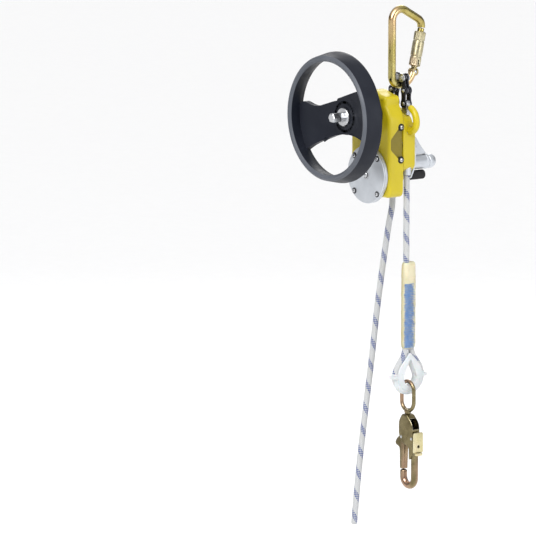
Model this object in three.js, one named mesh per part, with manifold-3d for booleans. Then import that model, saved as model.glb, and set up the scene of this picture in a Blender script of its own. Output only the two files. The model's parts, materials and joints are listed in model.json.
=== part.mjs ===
// Rope rescue and descent device: a yellow geared casing with a hand wheel and a centrifugal brake,
// hung from a twist-lock carabiner by a short chain, with its lifeline, spliced eye and snap hook.
//
// Millimetres, +Z up. The origin is the inside of the carabiner's top bow, where the anchor bears.
// The wheel side faces -Y. The loaded rope hangs down the +X side of the casing.

import * as THREE from 'three';
import { mergeVertices } from 'three/addons/utils/BufferGeometryUtils.js';
import Module from 'manifold-3d';

const wasm = await Module();
wasm.setup();

// ---- Driving dimensions ------------------------------------------------------------------------

const GAP = 0.3; // clearance between two pieces that touch

const STOCK_R = 6; // carabiner bar
const SPINE_Y = -16.4;
const BOW_BOTTOM_Z = -109; // centre of the bar that carries the chain

const CHAIN_PITCH = 20;
const CHAIN_TOP_Z = -97.6;
const CHAIN_LEG_X = 14.5;
const CHAIN_LOBE_R = 6.6;
const CHAIN_WAIST = 4.4;
const INNER_PLATE = [1.8, 3.8]; // distance of each plate's faces from the chain's middle plane
const OUTER_PLATE = [4.1, 6.1];

const SHAFT_X = -21;
const SHEAVE_Z = -200;
const MODULE = 2;
const SHEAVE_TEETH = 34;
const PINION_TEETH = 12;
const CENTRE_DISTANCE = (MODULE * (SHEAVE_TEETH + PINION_TEETH)) / 2;
const WHEEL_Z = SHEAVE_Z + CENTRE_DISTANCE;
const BRAKE_Z = SHEAVE_Z - CENTRE_DISTANCE;

const ROPE_R = 4.75;
const ROPE_WRAP_R = 37.7; // centre of the rope on the sheave
const LOAD_X = SHAFT_X + ROPE_WRAP_R;
const TAIL_X = -16.75;
const ROLLER_WRAP_R = 12.75;
const ROLLER_X = TAIL_X - ROLLER_WRAP_R;
const ROLLER_Z = -258;
const LOAD_EXIT_Z = -247;
const TAIL_EXIT_Z = -280;

const HALF_WIDTH = 46.5; // casing, either side of the shafts
const FRONT_Y = -42;
const PARTING_Y = -14;
const REAR_Y = 10;
const FRONT_BOTTOM_Z = -279;
const WALL = 4;
const SHEAVE_HALF = 7.2;
const SHEAVE_R = 43;
const CAVITY_R = SHEAVE_R + 1.4;

const GEAR_Y = [-27, -20];
const PLATE_Y = [-17.2, -14.3];

const WHEEL_R = 100;
const WHEEL_BACK_Y = -100;
const WHEEL_CREASE_Y = -127;
const HUB_FRONT_Y = -92;
const HUB_BACK_Y = -62;
const HUB_R = 28;

const DRUM_R = 44;
const COVER_FRONT_Y = -50;
const COVER_BACK_Y = -47.6;
const DRUM_FLANGE_Y = [-47.3, -42.3];
const DRUM_BACK_Y = -28;
const DRUM_BORE_R = 34;
const SHOE_Y = [-44.5, -30];

const SPLICE_TOP_Z = -381;
const SPLICE_BOTTOM_Z = -515;
const EYE_Y = ROPE_R; // two ropes lie side by side in the splice
const EYE_Z = -557;
const EYE_WRAP_R = 25.5;
const THIMBLE_HOLE_R = 13;
const THIMBLE_HALF = 6.2;
const THIMBLE_HOLE_Z = -560.5;

// ---- Finishes ----------------------------------------------------------------------------------

const FINISH = {
  goldSteel: { color: 0xa08c44, roughness: 0.35, metalness: 0.9 },
  satinSleeve: { color: 0xc8be96, roughness: 0.5, metalness: 0.8 },
  chainSteel: { color: 0x26262c, roughness: 0.45, metalness: 0.7 },
  plainSteel: { color: 0x9a9da0, roughness: 0.4, metalness: 0.9 },
  darkSteel: { color: 0x3a3c40, roughness: 0.5, metalness: 0.8 },
  yellowPaint: { color: 0xcdb900, roughness: 0.45, metalness: 0.0 },
  castSilver: { color: 0xc8cdd2, roughness: 0.4, metalness: 0.7 },
  bronze: { color: 0xa07a3c, roughness: 0.5, metalness: 0.8 },
  wheelPlastic: { color: 0x1f222b, roughness: 0.6, metalness: 0.0 },
  blackRubber: { color: 0x1c1c1e, roughness: 0.8, metalness: 0.0 },
  brakeLining: { color: 0x5a4a3c, roughness: 0.9, metalness: 0.0 },
  whiteRope: { color: 0xd7d7d7, roughness: 0.9, metalness: 0.0 },
  creamSleeve: { color: 0xe1d7aa, roughness: 0.6, metalness: 0.0 },
  milkyPlastic: { color: 0xe1e4e4, roughness: 0.5, metalness: 0.0 },
  hookSteel: { color: 0x968250, roughness: 0.35, metalness: 0.9 },
};

// ---- Geometry helpers --------------------------------------------------------------------------

const device = new THREE.Group();

// Adds one named piece to a group, from a three.js geometry or a manifold solid.
function addPiece(name, shape, finish, group = device) {
  const geometry = shape.isBufferGeometry ? shape : toGeometry(shape);
  const piece = new THREE.Mesh(geometry, new THREE.MeshStandardMaterial(finish));
  piece.name = name;
  group.add(piece);
  return piece;
}

// A group whose local Y axis is the line through (x, z) parallel to Y.
function axisGroup(x, z) {
  const group = new THREE.Group();
  group.position.set(x, 0, z);
  device.add(group);
  return group;
}

function toSolid(geometry) {
  const bare = geometry.clone();
  bare.deleteAttribute('normal');
  bare.deleteAttribute('uv');
  const merged = mergeVertices(bare, 1e-4);
  return new wasm.Manifold(new wasm.Mesh({
    numProp: 3,
    vertProperties: new Float32Array(merged.attributes.position.array),
    triVerts: new Uint32Array(merged.index.array),
  }));
}

function toGeometry(solid) {
  const mesh = solid.getMesh();
  const geometry = new THREE.BufferGeometry();
  geometry.setAttribute('position', new THREE.BufferAttribute(mesh.vertProperties, 3));
  geometry.setIndex(new THREE.BufferAttribute(mesh.triVerts, 1));
  geometry.computeVertexNormals();
  return geometry;
}

function union(first, ...others) {
  return others.reduce((sum, geometry) => sum.add(toSolid(geometry)), toSolid(first));
}

function cut(solid, ...tools) {
  return tools.reduce((rest, geometry) => rest.subtract(toSolid(geometry)), solid);
}

// A solid of revolution about the Y axis from [radius, y] points.
function turned(profile, segments = 20) {
  const points = profile.map(([r, y]) => new THREE.Vector2(r, y));
  if (THREE.ShapeUtils.area(points) < 0) points.reverse();
  const startsOnAxis = points[0].x === 0;
  if (!startsOnAxis) points.push(points[0].clone());
  return new THREE.LatheGeometry(points, segments);
}

// A plain cylinder about a line parallel to Y.
function rod(radius, [yFront, yBack], x = 0, z = 0, segments = 16) {
  const geometry = turned([[0, yFront], [radius, yFront], [radius, yBack], [0, yBack]], segments);
  return geometry.translate(x, 0, z);
}

// A ring about a line parallel to Y.
function ring(inner, outer, [yFront, yBack], segments = 16) {
  return turned([[inner, yFront], [outer, yFront], [outer, yBack], [inner, yBack]], segments);
}

// A box between two corners.
function block([x0, x1], [y0, y1], [z0, z1]) {
  const geometry = new THREE.BoxGeometry(x1 - x0, y1 - y0, z1 - z0);
  return geometry.translate((x0 + x1) / 2, (y0 + y1) / 2, (z0 + z1) / 2);
}

function shapeOf(points) {
  return new THREE.Shape(points.map(([u, v]) => new THREE.Vector2(u, v)));
}

// A shape drawn in X and Z, made solid between two Y planes.
function plateXZ(shape, [yFront, yBack], curveSegments = 8) {
  const settings = { depth: yBack - yFront, bevelEnabled: false, curveSegments };
  const geometry = new THREE.ExtrudeGeometry(shape, settings);
  return geometry.rotateX(Math.PI / 2).translate(0, yBack, 0);
}

// A shape drawn in Y and Z, made solid between two X planes.
function plateYZ(shape, [x0, x1], curveSegments = 8) {
  const settings = { depth: x1 - x0, bevelEnabled: false, curveSegments };
  const geometry = new THREE.ExtrudeGeometry(shape, settings);
  const toRow = new THREE.Matrix4().makeBasis(
    new THREE.Vector3(0, 1, 0), new THREE.Vector3(0, 0, 1), new THREE.Vector3(1, 0, 0));
  return geometry.applyMatrix4(toRow).translate(x0, 0, 0);
}

// A 2-D path laid in a plane of the row.
class PlaneCurve extends THREE.Curve {
  constructor(path, place) {
    super();
    this.path = path;
    this.place = place;
  }

  getPoint(t) {
    const point = this.path.getPoint(t);
    return this.place(point.x, point.y);
  }
}

const onPlaneX = (x) => (y, z) => new THREE.Vector3(x, y, z);
const onPlaneY = (y) => (x, z) => new THREE.Vector3(x, y, z);

// A round bar along a curve, with flat ends.
function bar(curve, radius, steps, sides = 10) {
  const section = new THREE.Shape();
  section.absarc(0, 0, radius, 0, 2 * Math.PI);
  const settings = { steps, extrudePath: curve, curveSegments: sides / 2, bevelEnabled: false };
  return new THREE.ExtrudeGeometry(section, settings);
}

function degrees(angle) {
  return THREE.MathUtils.degToRad(angle);
}

// A round-headed screw on the Y axis: the head stands out towards -Y from y = 0.
function screw(headR, headH, shankR, shankL) {
  return turned([
    [0, -headH], [0.6 * headR, -headH], [headR, -0.4 * headH], [headR, 0],
    [shankR, 0], [shankR, shankL], [0, shankL],
  ], 10);
}

// ---- Carabiner ---------------------------------------------------------------------------------

// The gate's centre line runs from its hinge to the nose, leaning outwards, in the plane X = 0.
const HINGE = new THREE.Vector2(26, -91);
const NOSE = new THREE.Vector2(41, -25);
const GATE_LEAN = Math.atan2(NOSE.x - HINGE.x, NOSE.y - HINGE.y);
const GATE_LENGTH = HINGE.distanceTo(NOSE);
const GATE_R = 5.2;
const SLEEVE_R = 9;

function carabinerPath() {
  const topR = 17;
  const cornerR = 13;
  const kneeR = 20;
  const topSlope = degrees(36);
  const path = new THREE.Path();
  const noseDirection = new THREE.Vector2().subVectors(HINGE, NOSE).normalize();
  const noseEnd = NOSE.clone().addScaledVector(noseDirection, -0.6);
  path.moveTo(noseEnd.x, noseEnd.y);
  path.quadraticCurveTo(42.5, -14, 33, -9.5);
  path.absarc(SPINE_Y + topR, STOCK_R - topR, topR, Math.PI / 2 - topSlope + 0.02, Math.PI, false);
  path.lineTo(SPINE_Y, BOW_BOTTOM_Z + cornerR);
  path.absarc(SPINE_Y + cornerR, BOW_BOTTOM_Z + cornerR, cornerR, Math.PI, 1.5 * Math.PI, false);
  path.absarc(3, BOW_BOTTOM_Z + kneeR, kneeR, -Math.PI / 2, degrees(-35), false);
  path.lineTo(HINGE.x - 1.2, HINGE.y - 1.5);
  return path;
}

// Turns a piece drawn about the Z axis, base at 0, onto the gate's centre line.
function ontoGate(geometry) {
  return geometry.rotateX(-GATE_LEAN).translate(0, HINGE.x, HINGE.y);
}

// A solid of revolution about the gate's centre line from [radius, height above the hinge] points.
function gateTurned(profile, segments) {
  return ontoGate(turned(profile, segments).rotateX(Math.PI / 2));
}

// A short cylinder about the hinge's own line, which runs along X.
function hingeDisc(radius, [x0, x1]) {
  const disc = turned([[0, x0], [radius, x0], [radius, x1], [0, x1]], 20);
  return disc.rotateZ(-Math.PI / 2).translate(0, HINGE.x, HINGE.y);
}

function makeCarabiner() {
  const pinHole = hingeDisc(2.3, [-9, 9]);
  const bow = bar(new PlaneCurve(carabinerPath(), onPlaneX(0)), STOCK_R, 40, 8);
  const slot = union(hingeDisc(7, [-2.8, 2.8]), ontoGate(block([-2.8, 2.8], [-7, 7], [0, 14])));
  const body = cut(union(bow, hingeDisc(STOCK_R, [-5.5, 5.5])).subtract(slot), pinHole);
  const stemTop = GATE_LENGTH - GAP;
  const stem = gateTurned([[0, 7], [GATE_R, 7], [GATE_R, stemTop], [0, stemTop]], 20);
  const tongue = ontoGate(block([-2.4, 2.4], [-4, 4], [0, 8]));
  const gate = cut(union(stem, tongue, hingeDisc(5, [-2.4, 2.4])), pinHole);
  const bore = GATE_R + GAP;
  const sleeve = gateTurned([
    [bore, 8.5], [SLEEVE_R - 1, 8.5], [SLEEVE_R, 9.5], [SLEEVE_R, 61], [SLEEVE_R - 1, 62], [bore, 62],
  ], 24);
  addPiece('carabiner_body', body, FINISH.goldSteel);
  addPiece('carabiner_gate', gate, FINISH.goldSteel);
  addPiece('carabiner_sleeve', sleeve, FINISH.satinSleeve);
  addPiece('carabiner_hinge_pin', hingeDisc(2, [-5.4, 5.4]), FINISH.plainSteel);
}

// ---- Chain and its anchor ----------------------------------------------------------------------

// Centres of the six pins, from the left leg's foot, over the carabiner's bar, to the right foot.
function chainPins() {
  const halfTop = CHAIN_PITCH / 2;
  const legStep = CHAIN_LEG_X - halfTop;
  const kneeZ = CHAIN_TOP_Z - Math.sqrt(CHAIN_PITCH ** 2 - legStep ** 2);
  const right = [[halfTop, CHAIN_TOP_Z], [CHAIN_LEG_X, kneeZ], [CHAIN_LEG_X, kneeZ - CHAIN_PITCH]];
  const left = right.map(([x, z]) => [-x, z]).reverse();
  return [...left, ...right];
}

// The figure-of-eight plates of one link, on both sides of the chain's middle plane.
function linkPlates([x0, z0], [x1, z1], [inner, outer]) {
  const lean = Math.atan2(z1 - z0, x1 - x0);
  const waist = new THREE.Shape();
  waist.absellipse(0, 0, CHAIN_PITCH / 2, CHAIN_WAIST, 0, 2 * Math.PI, false, 0);
  return [[inner, outer], [-outer, -inner]].flatMap((faces) => [
    rod(CHAIN_LOBE_R, faces, x0, z0, 10),
    rod(CHAIN_LOBE_R, faces, x1, z1, 10),
    plateXZ(waist, faces, 4).rotateY(-lean).translate((x0 + x1) / 2, 0, (z0 + z1) / 2),
  ]);
}

function makeChain() {
  const pinR = 3;
  const bushR = 4.4;
  const headY = 7;
  const pins = chainPins();
  for (let i = 0; i < pins.length - 1; i += 1) {
    const [from, to] = [pins[i], pins[i + 1]];
    const isOuter = i % 2 === 0;
    const plates = linkPlates(from, to, isOuter ? OUTER_PLATE : INNER_PLATE);
    const across = isOuter ? [-headY, headY] : [-INNER_PLATE[1], INNER_PLATE[1]];
    const crossR = isOuter ? pinR : bushR;
    let link = union(...plates, ...[from, to].map(([x, z]) => rod(crossR, across, x, z, 8)));
    if (!isOuter) link = cut(link, ...[from, to].map(([x, z]) => rod(pinR + GAP, [-9, 9], x, z, 8)));
    addPiece(`chain_link_${i + 1}`, link, FINISH.chainSteel);
  }
}

const EAR_R = 6;
const EAR_THICK = [-3.8, 3.8];

// The plate that carries both feet of the chain, grown by a clearance for its pocket.
function anchorSolid(clearance) {
  const [foot] = chainPins();
  const half = EAR_R + clearance;
  const faces = [EAR_THICK[0] - clearance, EAR_THICK[1] + clearance];
  const ears = [-CHAIN_LEG_X, CHAIN_LEG_X].flatMap((x) => [
    rod(half, faces, x, foot[1], 20),
    block([x - half, x + half], faces, [-154 - clearance, foot[1]]),
  ]);
  const bridgeX = CHAIN_LEG_X + half;
  const bridge = block([-bridgeX, bridgeX], faces, [-154 - clearance, -148 + clearance]);
  return union(bridge, ...ears);
}

function makeAnchorPlate() {
  const holes = [-CHAIN_LEG_X, CHAIN_LEG_X].map((x) => rod(3 + GAP, [-9, 9], x, chainPins()[0][1], 16));
  addPiece('anchor_plate', cut(anchorSolid(0), ...holes), FINISH.plainSteel);
}

// ---- Casing ------------------------------------------------------------------------------------

// Closes a right-hand outline of [distance from the shafts, z] with its mirror image.
function mirrored(rightHalf) {
  const right = rightHalf.map(([u, z]) => [SHAFT_X + u, z]);
  const left = rightHalf.map(([u, z]) => [SHAFT_X - u, z]).reverse();
  return shapeOf([...right, ...left]);
}

function frontOutline() {
  const cornerR = 22;
  const corner = Array.from({ length: 7 }, (_, i) => {
    const angle = degrees(-15 * i);
    return [HALF_WIDTH - cornerR + cornerR * Math.cos(angle),
      FRONT_BOTTOM_Z + cornerR + cornerR * Math.sin(angle)];
  });
  return mirrored([
    [6, -116.5], [17, -121], [36, -125], [36, -137.5], [HALF_WIDTH, -154.5], ...corner,
  ]);
}

// The front shell's pocket, shrunk by a margin for the plate that closes it.
function frontPocketOutline(margin) {
  const half = HALF_WIDTH - WALL - margin;
  const top = -141.5 - margin;
  const bottom = FRONT_BOTTOM_Z + WALL + margin;
  const chamfer = 16;
  return mirrored([
    [half - 10, top], [half, top - 14.5], [half, bottom + chamfer], [half - chamfer, bottom],
  ]);
}

function makeFrontShell() {
  const wallBack = FRONT_Y + 3.5;
  const back = PARTING_Y - GAP / 2;
  const shell = toSolid(plateXZ(frontOutline(), [FRONT_Y, back]));
  const pockets = [
    plateXZ(frontPocketOutline(0), [wallBack, 0]),
    rod(PINION_TEETH + 4, [wallBack, 0], SHAFT_X, WHEEL_Z, 24),
  ];
  const bearingBoss = rod(18, [FRONT_Y + 0.5, -30.5], SHAFT_X, WHEEL_Z, 32);
  const holes = [
    rod(14, [-60, 0], SHAFT_X, WHEEL_Z, 32),
    rod(38 + GAP, [-60, 0], SHAFT_X, BRAKE_Z, 32),
    ...sideScrewPlaces().map(({ x, z }) => block([x - 3, x + 3], [-21.4, -16.6], [z - 2.4, z + 2.4])),
  ];
  addPiece('casing_front', cut(cut(shell, ...pockets).add(toSolid(bearingBoss)), ...holes),
    FINISH.yellowPaint);
}

function horn(side) {
  const path = new THREE.CatmullRomCurve3([
    [HALF_WIDTH - 5, -178], [HALF_WIDTH + 5.5, -177.5], [HALF_WIDTH + 13, -171],
    [HALF_WIDTH + 14.5, -161], [HALF_WIDTH + 10.5, -150], [HALF_WIDTH + 1.5, -142.5],
  ].map(([u, z]) => new THREE.Vector3(SHAFT_X + side * u, -1, z)));
  const tip = new THREE.SphereGeometry(5.5, 8, 6);
  tip.translate(SHAFT_X + side * (HALF_WIDTH + 1.5), -1, -142.5);
  return [bar(path, 5.5, 9, 8), tip];
}

function makeRearShell() {
  const front = PARTING_Y + GAP / 2;
  const floorY = SHEAVE_HALF + 0.4;
  const outline = shapeOf([
    [-10, -145], [20.5, -166], [25.5, -172], [25.5, -232], [5.7, -250], [-4, -258], [-7, -272],
    [-44, -272], [-67.5, -244], [-67.5, -172], [-62.5, -166], [-32, -145],
  ]);
  const shoulder = mirrored([[24, -144.6], [HALF_WIDTH, -160], [HALF_WIDTH, -190]]);
  const rollerPocket = shapeOf([
    [-58, -222], [-18, -222], [-10.5, -246], [-10.5, -262], [-19, -269.4], [-42, -269.4], [-50, -250],
  ]);
  const shell = union(
    plateXZ(outline, [front, REAR_Y]), plateXZ(shoulder, [front, 4.5]),
    rod(18, [REAR_Y - 1, 18], SHAFT_X, SHEAVE_Z, 32), ...horn(1), ...horn(-1));
  const hollowed = cut(shell,
    rod(CAVITY_R, [-20, floorY], SHAFT_X, SHEAVE_Z, 32),
    plateXZ(rollerPocket, [-20, floorY]),
    rod(13 + GAP, [0, 16], SHAFT_X, SHEAVE_Z, 32),
    rod(3 + GAP, [0, 20], ROLLER_X, ROLLER_Z, 16),
    upright(7.3, [-260, -230], LOAD_X),
    upright(5.6, [-260, -195], LOAD_X),
    upright(7.3, [-290, -262], TAIL_X));
  addPiece('casing_rear', hollowed.subtract(anchorSolid(GAP)), FINISH.yellowPaint);
}

// A cylinder along Z on the rope's plane.
function upright(radius, [z0, z1], x) {
  const geometry = turned([[0, z0], [radius, z0], [radius, z1], [0, z1]], 16);
  return geometry.rotateX(Math.PI / 2).translate(x, 0, 0);
}

function sideScrewPlaces() {
  const right = SHAFT_X + HALF_WIDTH;
  const left = SHAFT_X - HALF_WIDTH;
  return [
    { name: 'side_screw_right_upper', x: right, z: -171, turn: Math.PI / 2 },
    { name: 'side_screw_right_lower', x: right, z: -221, turn: Math.PI / 2 },
    { name: 'side_screw_left_upper', x: left, z: -171, turn: -Math.PI / 2 },
    { name: 'side_screw_left_lower', x: left, z: -221, turn: -Math.PI / 2 },
  ];
}

function makeSideScrews() {
  sideScrewPlaces().forEach(({ name, x, z, turn }) => {
    const piece = addPiece(name, screw(4.2, 2.2, 2, 2.5), FINISH.plainSteel);
    piece.rotation.z = turn;
    piece.position.set(x + Math.sign(turn) * GAP, -19, z);
  });
}

function makeMidPlate() {
  const plate = cut(toSolid(plateXZ(frontPocketOutline(0.4), PLATE_Y)),
    rod(9.5 + GAP, [-30, 0], SHAFT_X, WHEEL_Z, 24),
    rod(13 + GAP, [-30, 0], SHAFT_X, SHEAVE_Z, 24),
    rod(8.5 + GAP, [-30, 0], SHAFT_X, BRAKE_Z, 24));
  addPiece('mid_plate', plate, FINISH.plainSteel);
}

function ropeBush(x, z0, z1) {
  const bush = turned([[5.3, z0], [7, z0], [7, z1], [5.3, z1]], 16);
  return bush.rotateX(Math.PI / 2).translate(x, 0, 0);
}

// ---- Drive train -------------------------------------------------------------------------------

// A spur gear about the Y axis. A phase of 0 puts a tooth at +Z, and of 0.5 a gap.
function spurGear(teeth, phase, faces) {
  const rootR = (MODULE * (teeth - 2.5)) / 2;
  const tipR = (MODULE * (teeth + 2)) / 2;
  const flank = [[-0.27, rootR], [-0.1, tipR], [0.1, tipR], [0.27, rootR]];
  const outline = Array.from({ length: teeth }, (_, tooth) => flank.map(([offset, radius]) => {
    const angle = (2 * Math.PI * (tooth + phase + offset)) / teeth;
    return [radius * Math.sin(angle), radius * Math.cos(angle)];
  }));
  return plateXZ(shapeOf(outline.flat()), faces);
}

function makeWheelAxis() {
  const axis = axisGroup(SHAFT_X, WHEEL_Z);
  const shaft = union(
    spurGear(PINION_TEETH, 0.5, GEAR_Y),
    rod(8, [HUB_FRONT_Y - 4, GEAR_Y[0] + 1]),
    rod(6, [GEAR_Y[1] - 1, PARTING_Y - 0.6]),
    rod(14, [HUB_FRONT_Y - 4.3, HUB_FRONT_Y - GAP]),
    rod(7.5, [HUB_FRONT_Y - 26, HUB_FRONT_Y - 4], 0, 0, 6));
  const collar = turned([[9.2, -61], [23, -61], [26, -51], [31, FRONT_Y - GAP], [9.2, FRONT_Y - GAP]]);
  addPiece('wheel_shaft', shaft, FINISH.plainSteel, axis);
  addPiece('neck_collar', collar, FINISH.wheelPlastic, axis);
  addPiece('wheel_bearing_front', ring(8 + GAP, 13.7, [FRONT_Y, -30.5]), FINISH.bronze, axis);
  addPiece('wheel_bearing_rear', ring(6 + GAP, 9.5, [-18.6, PARTING_Y - 0.5]), FINISH.bronze, axis);
  addPiece('hand_wheel', handWheel(), FINISH.wheelPlastic, axis);
}

function handWheel() {
  const rimInner = 86;
  const rim = turned([
    [WHEEL_R, WHEEL_BACK_Y], [WHEEL_R, WHEEL_BACK_Y - 4], [95, WHEEL_CREASE_Y], [91, -130.5],
    [rimInner, WHEEL_CREASE_Y], [rimInner + 1, -112], [91, WHEEL_BACK_Y],
  ], 40);
  const dish = turned([
    [20, HUB_FRONT_Y], [HUB_R, HUB_FRONT_Y], [89, -110], [93, -101.5], [HUB_R, HUB_FRONT_Y + 9],
    [20, HUB_FRONT_Y + 9],
  ], 24);
  const spokes = [
    shapeOf([[-18, 26], [20, 40], [78, 68], [98, 30], [98, -30], [78, -50], [30, -28], [-18, -26]]),
    shapeOf([[18, 26], [-18, 24], [-80, 9], [-96, -20], [-80, -62], [-15, -29], [18, -26]]),
  ].map((shape) => toSolid(plateXZ(shape, [-120, -70])));
  const hub = turned([
    [8.4, HUB_FRONT_Y], [HUB_R - 2, HUB_FRONT_Y], [HUB_R, HUB_FRONT_Y + 2], [26, -74],
    [24, HUB_BACK_Y], [8.4, HUB_BACK_Y],
  ]);
  const arms = toSolid(dish).intersect(spokes[0].add(spokes[1]));
  return toSolid(rim).add(arms).add(toSolid(hub));
}

function makeSheaveAxis() {
  const axis = axisGroup(SHAFT_X, SHEAVE_Z);
  const boreR = 9 + GAP;
  const sheave = turned([
    [boreR, -SHEAVE_HALF], [SHEAVE_R, -SHEAVE_HALF], [SHEAVE_R, -6.4], [36, -5.3], [32.3, -3.6],
    [32.3, 3.6], [36, 5.3], [SHEAVE_R, 6.4], [SHEAVE_R, SHEAVE_HALF], [boreR, SHEAVE_HALF],
  ], 28);
  const gear = cut(toSolid(spurGear(SHEAVE_TEETH, 0, GEAR_Y)), rod(boreR, [-40, 0]));
  addPiece('sheave', sheave, FINISH.castSilver, axis);
  addPiece('sheave_shaft', rod(9, [GEAR_Y[0] - 1, 15.4]), FINISH.plainSteel, axis);
  addPiece('sheave_gear', gear, FINISH.plainSteel, axis);
  addPiece('sheave_bearing_front', ring(boreR, 13, [-19, -11]), FINISH.bronze, axis);
  addPiece('sheave_bearing_rear', ring(boreR, 13, [8, 15.7]), FINISH.bronze, axis);
}

function makeRoller() {
  const axis = axisGroup(ROLLER_X, ROLLER_Z);
  const roller = turned([
    [3.3, -7], [10.8, -7], [10.8, -5.6], [7.2, -5.4], [7.2, 5.4], [10.8, 5.6], [10.8, 7], [3.3, 7],
  ], 16);
  const pin = turned([
    [0, -12], [3, -12], [3, REAR_Y + GAP], [5.5, REAR_Y + GAP], [5.5, 12.6], [0, 12.6],
  ], 16);
  addPiece('guide_roller', roller, FINISH.plainSteel, axis);
  addPiece('guide_roller_pin', pin, FINISH.darkSteel, axis);
}

// ---- Brake -------------------------------------------------------------------------------------

const COVER_SCREW_R = 38.5;
const SHOE_SPAN = degrees(96);

function coverScrewPlaces() {
  return [45, 135, 225, 315].map((angle) => ({
    name: `cover_screw_${angle}`,
    x: COVER_SCREW_R * Math.cos(degrees(angle)),
    z: COVER_SCREW_R * Math.sin(degrees(angle)),
  }));
}

// One brake shoe, an arc centred on the direction at the given angle from +X towards +Z.
function brakeShoe(middle) {
  const shape = new THREE.Shape();
  const outerR = DRUM_BORE_R - 1.5;
  shape.absarc(0, 0, outerR, middle - SHOE_SPAN / 2, middle + SHOE_SPAN / 2, false);
  shape.absarc(0, 0, 18, middle + SHOE_SPAN / 2, middle - SHOE_SPAN / 2, true);
  return plateXZ(shape, SHOE_Y, 8);
}

function makeBrakeAxis() {
  const axis = axisGroup(SHAFT_X, BRAKE_Z);
  const shaft = union(
    spurGear(PINION_TEETH, 0.5, GEAR_Y),
    rod(5, [GEAR_Y[1] - 1, PARTING_Y - 0.6]),
    rod(6, [SHOE_Y[0] - 0.5, GEAR_Y[0] + 1]),
    rod(4, [COVER_FRONT_Y + 0.7, SHOE_Y[0]]));
  const arms = [0, 120, 240].map((angle) => (
    block([10, DRUM_BORE_R - 3], SHOE_Y, [-2.5, 2.5]).rotateY(-degrees(angle + 30))));
  const carrier = cut(union(rod(15, SHOE_Y), ...arms), rod(6 + GAP, [-60, 0]));
  const drum = turned([
    [DRUM_BORE_R, DRUM_FLANGE_Y[0]], [DRUM_R, DRUM_FLANGE_Y[0]], [DRUM_R, DRUM_FLANGE_Y[1]],
    [38, DRUM_FLANGE_Y[1]], [38, DRUM_BACK_Y], [DRUM_BORE_R, DRUM_BACK_Y],
  ], 32);
  const screwHoles = coverScrewPlaces().map(({ x, z }) => (
    rod(2 + GAP, [COVER_FRONT_Y - 1, DRUM_FLANGE_Y[1] - 0.6], x, z, 8)));
  const cover = cut(toSolid(rod(DRUM_R, [COVER_FRONT_Y, COVER_BACK_Y], 0, 0, 32)),
    rod(6.8, [-60, 0]), ...screwHoles);
  const cap = turned([
    [0, -52.5], [2.6, -52.5], [4.4, -51.2], [4.4, -50.3], [6.5, -50.3], [6.5, -46], [4.3, -46],
    [4.3, -49.7], [0, -49.7],
  ], 16);
  addPiece('brake_shaft', shaft, FINISH.plainSteel, axis);
  addPiece('brake_carrier', carrier, FINISH.plainSteel, axis);
  [90, 210, 330].forEach((angle, i) => {
    addPiece(`brake_shoe_${i + 1}`, brakeShoe(degrees(angle)), FINISH.brakeLining, axis);
  });
  addPiece('brake_bearing', ring(5 + GAP, 8.5, [-18.6, PARTING_Y - 0.5]), FINISH.bronze, axis);
  addPiece('brake_drum', cut(toSolid(drum), ...screwHoles), FINISH.castSilver, axis);
  addPiece('brake_cover', cover, FINISH.castSilver, axis);
  addPiece('brake_cover_cap', cap, FINISH.castSilver, axis);
  coverScrewPlaces().forEach(({ name, x, z }) => {
    const piece = addPiece(name, screw(4.4, 2, 2, 6), FINISH.plainSteel, axis);
    piece.position.set(x, COVER_FRONT_Y - GAP, z);
  });
}

// ---- Rear cleat --------------------------------------------------------------------------------

const CLEAT_X = 5;
const BOLLARD_Z = -230;
const CAM_Z = -249.5;

function makeCleat() {
  const base = plateXZ(shapeOf([
    [-3, -196], [23, -196], [23, -232], [12, -254], [-2, -254], [-3, -250],
  ]), [REAR_Y + GAP, REAR_Y + 3.3]);
  const gusset = plateYZ(shapeOf([
    [13, -188], [26, -190], [33, -202], [47, -218.2], [13, -218.2],
  ]), [CLEAT_X - 2.5, CLEAT_X + 2.5]);
  const bollard = turned([
    [0, 13.6], [11.5, 13.6], [11.5, 46], [9.5, 48], [11, 50], [11, 57], [8.5, 61.5], [4.5, 63],
    [0, 63.4],
  ], 16).translate(CLEAT_X, 0, BOLLARD_Z);
  const camBody = union(
    rod(7.2, [15, 42], CLEAT_X, CAM_Z, 20),
    block([CLEAT_X - 17, CLEAT_X], [15, 29], [CAM_Z - 3, CAM_Z + 3]));
  const pinHole = rod(3 + GAP, [0, 60], CLEAT_X, CAM_Z, 16);
  addPiece('cleat_bracket', cut(union(base, gusset), pinHole), FINISH.castSilver);
  addPiece('cleat_bollard', bollard, FINISH.castSilver);
  addPiece('cleat_cam', cut(camBody, pinHole), FINISH.blackRubber);
  addPiece('cleat_pin', rod(3, [REAR_Y + GAP, 44], CLEAT_X, CAM_Z, 16), FINISH.plainSteel);
}

// ---- Lifeline ----------------------------------------------------------------------------------

// The rope inside the casing: up from the load exit, over the sheave, past the roller to the tail.
function innerRopePath() {
  const reach = Math.hypot(ROLLER_X - SHAFT_X, ROLLER_Z - SHEAVE_Z);
  const heading = Math.atan2(ROLLER_Z - SHEAVE_Z, ROLLER_X - SHAFT_X) + 2 * Math.PI;
  const leave = heading - Math.acos((ROPE_WRAP_R + ROLLER_WRAP_R) / reach);
  const path = new THREE.Path();
  path.moveTo(LOAD_X, LOAD_EXIT_Z + GAP);
  path.lineTo(LOAD_X, SHEAVE_Z);
  path.absarc(SHAFT_X, SHEAVE_Z, ROPE_WRAP_R, 0, leave, false);
  path.absarc(ROLLER_X, ROLLER_Z, ROLLER_WRAP_R, leave - Math.PI, 0, true);
  path.lineTo(TAIL_X, TAIL_EXIT_Z + GAP);
  return path;
}

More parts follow.
